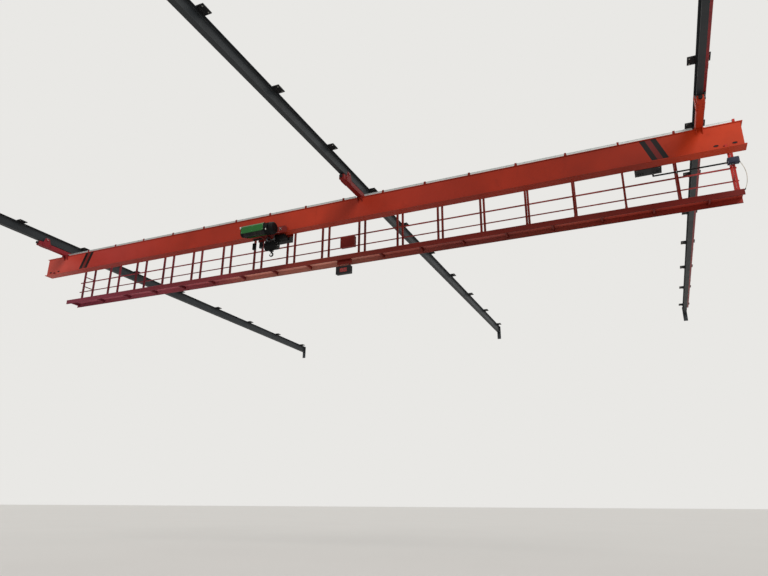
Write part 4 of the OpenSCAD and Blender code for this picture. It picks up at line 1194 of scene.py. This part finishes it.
def motor_details():
    lo, hi = span("hoist_motor")
    y, z = middle("hoist_motor").yz
    radius = (hi.z - lo.z) / 2
    tip = radius + 0.007
    axis = (1, 0, 0)
    fins = Piece("hoist_motor_fins", BLACK, "trolley")
    outline = [(radius - 0.002, -0.003), (tip, -0.002), (tip, 0.002), (radius - 0.002, 0.003)]
    for c, s in circle(44):
        fins.prism(outline, (lo.x + 0.012, y, z), (0, c, s), (0, -s, c), (0.165, 0, 0))
    fins.ring((lo.x, y, z), axis, radius - 0.004, radius + 0.008, 0.012, 48)
    fins.ring((lo.x + 0.180, y, z), axis, radius - 0.004, radius + 0.006, 0.014, 48)
    for r in (0.045, 0.075, 0.105):
        fins.ring((hi.x - 0.001, y, z), axis, r, r + 0.006, 0.004, 36)

    trims = Piece("motor_terminal_box", BLACK, "trolley")
    trims.box((lo.x + 0.05, lo.y - 0.050, z - 0.06), (lo.x + 0.16, lo.y + 0.012, z + 0.06), 0.006)
    trims.box((lo.x + 0.085, lo.y - 0.012, z - 0.135), (lo.x + 0.125, lo.y + 0.030, z - 0.058), 0.004)
    each(trims.screw, (lo.x + 0.062, lo.x + 0.148), lo.y - 0.050, around(z, 0.048), FRONT, 0.005)

    eye = Piece("motor_lifting_eye", ZINC_BOLT, "trolley", 60.0)
    x = lo.x + 0.11
    eye.tube([(x + 0.018 * c, y, hi.z + 0.020 + 0.018 * s) for c, s in circle(24)], 0.005, 8, closed=True)
    eye.lathe([(0.013, 0), (0.013, 0.004)], (x, y, hi.z), UP, 16)

    # White caps and a white strip below the terminal box: a small part made white and sized to a bright glint
    # there, a painted highlight.
    caps = Piece("motor_glint_cap", WHITE, "trolley")
    cap = [(0.012, 0), (0.012, 0.008), (0.008, 0.012), (0.0, 0.013)]
    for drop in (0.110, 0.086):
        caps.lathe(cap, (lo.x + 0.105, lo.y - 0.020, z - drop), FRONT, 20)
    caps.box((lo.x + 0.090, lo.y - 0.020, z - 0.128), (lo.x + 0.120, lo.y - 0.008, z - 0.068), 0.003)


def switch_box_details():
    lo, hi = span("limit_switch_box")
    piece = Piece("switch_box_lid", WHITE, "trolley")
    face = lo.x - 0.004
    piece.box((face, lo.y - 0.002, lo.z - 0.002), (lo.x, hi.y + 0.002, hi.z + 0.002), 0.0018)
    each(piece.screw, face, inside(lo.y, hi.y, 0.012), inside(lo.z, hi.z, 0.010), (-1, 0, 0), 0.004)
    piece.cone_gland(((lo.x + hi.x) / 2, (lo.y + hi.y) / 2, lo.z), DOWN, 0.009)


def frame_details():
    bolts = Piece("trolley_frame_bolts", ZINC_BOLT, "trolley")
    hubs = Piece("trolley_wheel_hubs", WHEEL, "trolley")
    beads = Piece("trolley_frame_beads", RED_DARK, "trolley")
    wheel_z = middle("trolley_wheels").z
    for node, side in (("trolley_front_frame", -1), ("trolley_rear_frame", 1)):
        lo, hi = span(node)
        out = (0, side, 0)
        outer = BRIDGE_Y + side * 0.208
        for x in around(TROLLEY_X, 0.45):
            hubs.lathe(HUB, (x, outer + side * 0.014, wheel_z), out, 24)
            for c, s in circle(4, math.pi / 4):
                bolts.bolt((x + 0.055 * c, outer, wheel_z + 0.055 * s), out, 0.010)
        for x in around(TROLLEY_X, 0.35):
            each(bolts.bolt, around(x, 0.0364), outer, lo.z + 0.025, out, 0.010)
        inner = outer - side * 0.012
        z = lo.z + 0.05
        beads.bead((lo.x + 0.03, inner, z), (hi.x - 0.03, inner, z), (0, -side, 0), UP, 0.005)


def counterweight_details():
    lo, hi = span("counterweight")
    slabs = Piece("counterweight_slabs", WEIGHT, "trolley")
    front = hi.y - 0.22
    z = (lo.z + hi.z) / 2 + 0.02
    for i, y in product(range(1, 5), (front, hi.y)):
        x = lo.x + (hi.x - lo.x) * i / 5
        slabs.box((x - 0.004, y - 0.002, lo.z + 0.004), (x + 0.004, y + 0.002, hi.z - 0.004), 0.001)
    for y, (x, s) in product(inside(front, hi.y, 0.06), ends(lo.x, hi.x)):
        slabs.bolt((x, y, z), (s, 0, 0), 0.018)
        slabs.rod((x, y, z), (x + s * 0.024, y, z), 0.009, 14)
    for x in around(TROLLEY_X, 0.3):
        slabs.box((x - 0.035, front - 0.006, lo.z + 0.02), (x + 0.035, front, lo.z + 0.16), 0.002)
        slabs.bolt((x, front - 0.006, lo.z + 0.14), FRONT, 0.012)


def cross_drive_details():
    lo, hi = span("cross_travel_drive")
    motor = Piece("cross_motor_fins", DRIVE, "trolley")
    grille = Piece("cross_motor_grille", BLACK, "trolley")
    x, y, _ = (lo + hi) / 2
    top = lo.z + 0.22
    finned_motor(motor, grille, (x, y + 0.001, top - 0.005), DOWN, 0.058, 0.165, 22, 0.007)
    motor.box((x - 0.028, hi.y - 0.004, top - 0.11), (x + 0.028, hi.y + 0.034, top - 0.04), 0.004)
    motor.cone_gland((x, hi.y + 0.016, top - 0.11), DOWN, 0.008)
    each(motor.bolt, around(x, 0.055), hi.y, (top + 0.02, top + 0.10), BACK, 0.008)


def control_box_details():
    lo, hi = span("trolley_control_box")
    box = Piece("trolley_control_lid", BLACK, "trolley")
    face = lo.y - 0.012
    box.box((lo.x - 0.003, face, lo.z - 0.003), (hi.x + 0.003, lo.y, hi.z - 0.004), 0.004)
    each(box.screw, inside(lo.x, hi.x, 0.016), face, (lo.z + 0.014, hi.z - 0.022), FRONT, 0.006)
    glands = [lo.x + 0.06 + 0.07 * k for k in range(4)]
    each(box.cone_gland, glands, (lo.y + hi.y) / 2, lo.z, DOWN, 0.011)
    each(box.bolt, around(lo.x + 0.15, 0.02), around(BRIDGE_Y, 0.09), hi.z + 0.0502, UP, 0.010)


def sheave_details():
    lo, hi = span("upper_sheaves")
    keep = Piece("sheave_pin_keepers", ZINC_BOLT, "trolley")
    z = (lo.z + hi.z) / 2
    for x, s in ends(lo.x, hi.x):
        face = x + s * 0.010
        keep.lathe([(0.026, 0), (0.026, 0.006), (0.016, 0.010)], (face, BRIDGE_Y, z), (s, 0, 0), 24)
        keep.box((face, BRIDGE_Y - 0.035, z + 0.012), (face + s * 0.005, BRIDGE_Y + 0.035, z + 0.030), 0.001)
        each(keep.bolt, face + s * 0.005, around(BRIDGE_Y, 0.026), z + 0.021, (s, 0, 0), 0.006)


def limit_weight_details():
    lo, hi = span("hoist_limit_weight")
    limit = Piece("limit_weight_rings", BLACK, "trolley")
    x = lo.x + 0.065
    for k in range(3):
        limit.ring((x, BRIDGE_Y, lo.z + 0.03 + 0.07 * k), UP, 0.060, 0.0675, 0.012, 32)
    limit.bolt((x, BRIDGE_Y, hi.z), UP, 0.014)


# Hook block
def forged_hook():
    """A bar along an arc: thicker in the bend, thinner towards a rounded tip."""
    lo, hi = span("hook")
    bend = 0.060
    centre = lo.z + 0.026 + bend
    shank = hi.z - (centre + bend + 0.004)
    rows = [(0.0, hi.z - shank * k / 4, 0.0235 + 0.0010 * k, 0.0235) for k in range(5)]
    steps = 44
    for k in range(1, steps + 1):
        t = k / steps
        a = math.pi / 2 - TURN * 0.76 * t
        r = bend + 0.004 * max(0.0, (t - 0.8) / 0.2) ** 2
        swell = math.sin(math.pi * t * 1.25) ** 0.8 if t < 0.8 else 0.0
        taper = max(0.0, (t - 0.62) / 0.38)
        flat = 0.0225 + 0.0045 * swell - 0.0095 * taper
        wide = 0.0235 + 0.0025 * swell - 0.0070 * taper
        rows.append((r * math.cos(a), centre + r * math.sin(a), flat, wide))
    before, last = Vector(rows[-2][:2]), Vector(rows[-1][:2])
    step = (last - before).normalized() * 0.0045
    for k, scale in ((1, 0.82), (2, 0.5), (3, 0.12)):
        rows.append((*(last + step * k), flat * scale, wide * scale))
    rings = []
    for i, (x, z, flat, wide) in enumerate(rows):
        a = rows[max(i - 1, 0)]
        b = rows[min(i + 1, len(rows) - 1)]
        tangent = Vector((b[0] - a[0], 0, b[1] - a[1])).normalized()
        normal = Vector((tangent.z, 0, -tangent.x))
        at = Vector((TROLLEY_X + x, BRIDGE_Y, z))
        section = [(flat * c, wide * (1.0 - 0.16 * c) * s) for c, s in circle(20)]
        rings.append([at + normal * a + Vector(BACK) * b for a, b in section])
    piece = Piece("forged_hook", FORGED, "hook_block", 50.0)
    piece.loft(rings)
    collar = [(0.030, 0.0), (0.036, 0.003), (0.036, 0.012), (0.030, 0.016), (0.026, 0.024)]
    piece.lathe(collar, (TROLLEY_X, BRIDGE_Y, hi.z - 0.0005), DOWN, 28)
    hook = piece.build()
    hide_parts("hook")

    latch = Piece("latch_spring", ZINC_BOLT, "hook_block", 60.0)
    x = TROLLEY_X - 0.008
    z = span("hook_latch")[1].z + 0.006
    latch.rod((x, BRIDGE_Y - 0.024, z), (x, BRIDGE_Y + 0.024, z), 0.004, 12)
    reach = 0.0065
    for side in BOTH:
        coil = []
        for k, c, s in sweep(48, 12):
            coil.append((x + reach * c, BRIDGE_Y + side * (0.017 - 0.0011 * k / 3), z + reach * s))
        latch.tube(coil, 0.0009, 6)


def block_details():
    lo, hi = span("block_housing")
    z = middle("block_sheaves").z
    plates = Piece("block_side_plates", BLACK, "hook_block")
    metal = Piece("block_bolts", ZINC_BOLT, "hook_block")
    pin = [(0.020, 0), (0.020, 0.010), (0.013, 0.013)]
    for x, side in ends(lo.x, hi.x):
        out = (side, 0, 0)
        plates.lathe([(0.062, 0), (0.062, 0.008), (0.054, 0.014)], (x, BRIDGE_Y, z), out, 36)
        metal.lathe(HUB, (x + side * 0.014, BRIDGE_Y, z), out, 24)
        for c, s in circle(6, math.pi / 6):
            metal.bolt((x, BRIDGE_Y + 0.095 * c, z + 0.095 * s), out, 0.010)
        metal.lathe(pin, (TROLLEY_X + side * 0.060, BRIDGE_Y, lo.z + 0.024), out, 20)
    half = (hi.y - lo.y) / 2
    for s in BOTH:
        face = BRIDGE_Y + s * half
        strap = face + s * 0.005
        for x in (lo.x + 0.05, TROLLEY_X, hi.x - 0.05):
            plates.box((x - 0.012, face, z - 0.01), (x + 0.012, strap, hi.z - 0.006), 0.002)
            metal.bolt((x, strap, hi.z - 0.024), (0, s, 0), 0.008)
        plates.box((lo.x, face - s * 0.012, hi.z - 0.010), (hi.x, face + s * 0.004, hi.z + 0.002), 0.002)


def hoist_ropes():
    lo, hi = span("hoist_ropes")
    radius = 0.006
    steps = 40
    piece = Piece("wire_rope_falls", ROPE, None, 60.0)
    for x, y in product(inside(lo.x, hi.x, radius), inside(lo.y, hi.y, radius)):
        piece.tube([(x, y, hi.z + (lo.z - hi.z) * k / steps) for k in range(steps + 1)], radius, 12)
    ropes = piece.build()
    x = (lo.x + hi.x) / 2
    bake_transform(ropes)
    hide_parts("hoist_ropes")


# Stage
def stage():
    """A pale floor, a soft light from all around that the camera sees brighter, and a wide sun."""
    size = 1600.0
    level = -11.55
    mesh = bpy.data.meshes.new("floor")
    corners = [(-size, -size, level), (size, -size, level), (size, size, level), (-size, size, level)]
    mesh.from_pydata(corners, [], [(0, 1, 2, 3)])
    mesh.materials.append(pale_floor())
    floor = bpy.data.objects.new("floor", mesh)
    bpy.context.scene.collection.objects.link(floor)

    world = bpy.data.worlds.new("studio")
    bpy.context.scene.world = world
    world.use_nodes = True
    tree = world.node_tree
    tree.nodes.clear()
    path = add_node(tree, "LightPath", {}).outputs
    seen = add_node(tree, "Background", {0: rgb("#e9e8e5"), 1: 1.0})
    light = add_node(tree, "Background", {0: (1.0, 0.99, 0.98, 1.0), 1: 0.62})
    shown = path["Is Camera Ray"]
    for ray in ("Is Glossy Ray", "Is Transmission Ray"):
        shown = add_node(tree, "Math", {0: shown, 1: path[ray]}, operation="MAXIMUM").outputs[0]
    both = add_node(tree, "MixShader", {0: shown, 1: light.outputs[0], 2: seen.outputs[0]})
    add_node(tree, "OutputWorld", {0: both.outputs[0]})

    lamp = bpy.data.lights.new("key", "SUN")
    lamp.energy = 1.5
    lamp.angle = math.radians(25.0)
    lamp.color = (1.0, 0.985, 0.96)
    key = bpy.data.objects.new("key", lamp)
    toward = Vector((-0.42, 0.76, -0.50))
    key.rotation_euler = toward.to_track_quat("-Z", "Y").to_euler()
    bpy.context.scene.collection.objects.link(key)


DETAILS = (
    runway_details, hanger_details, stop_details, conductor_details, girder_details, arm_details,
    walkway_details, tray_details, truck_details, drive_details, collector_details, cabinet_details,
    conduit_details, junction_details, display_details, railing_box_details, rope_drum, cover_details,
    motor_details, switch_box_details, frame_details, counterweight_details, cross_drive_details,
    control_box_details, sheave_details, limit_weight_details, forged_hook, block_details, hoist_ropes,
)
for details in DETAILS:
    details()
    for made in list(Piece.waiting):
        made.build()
stage()

bpy.context.scene.view_settings.view_transform = "Standard"
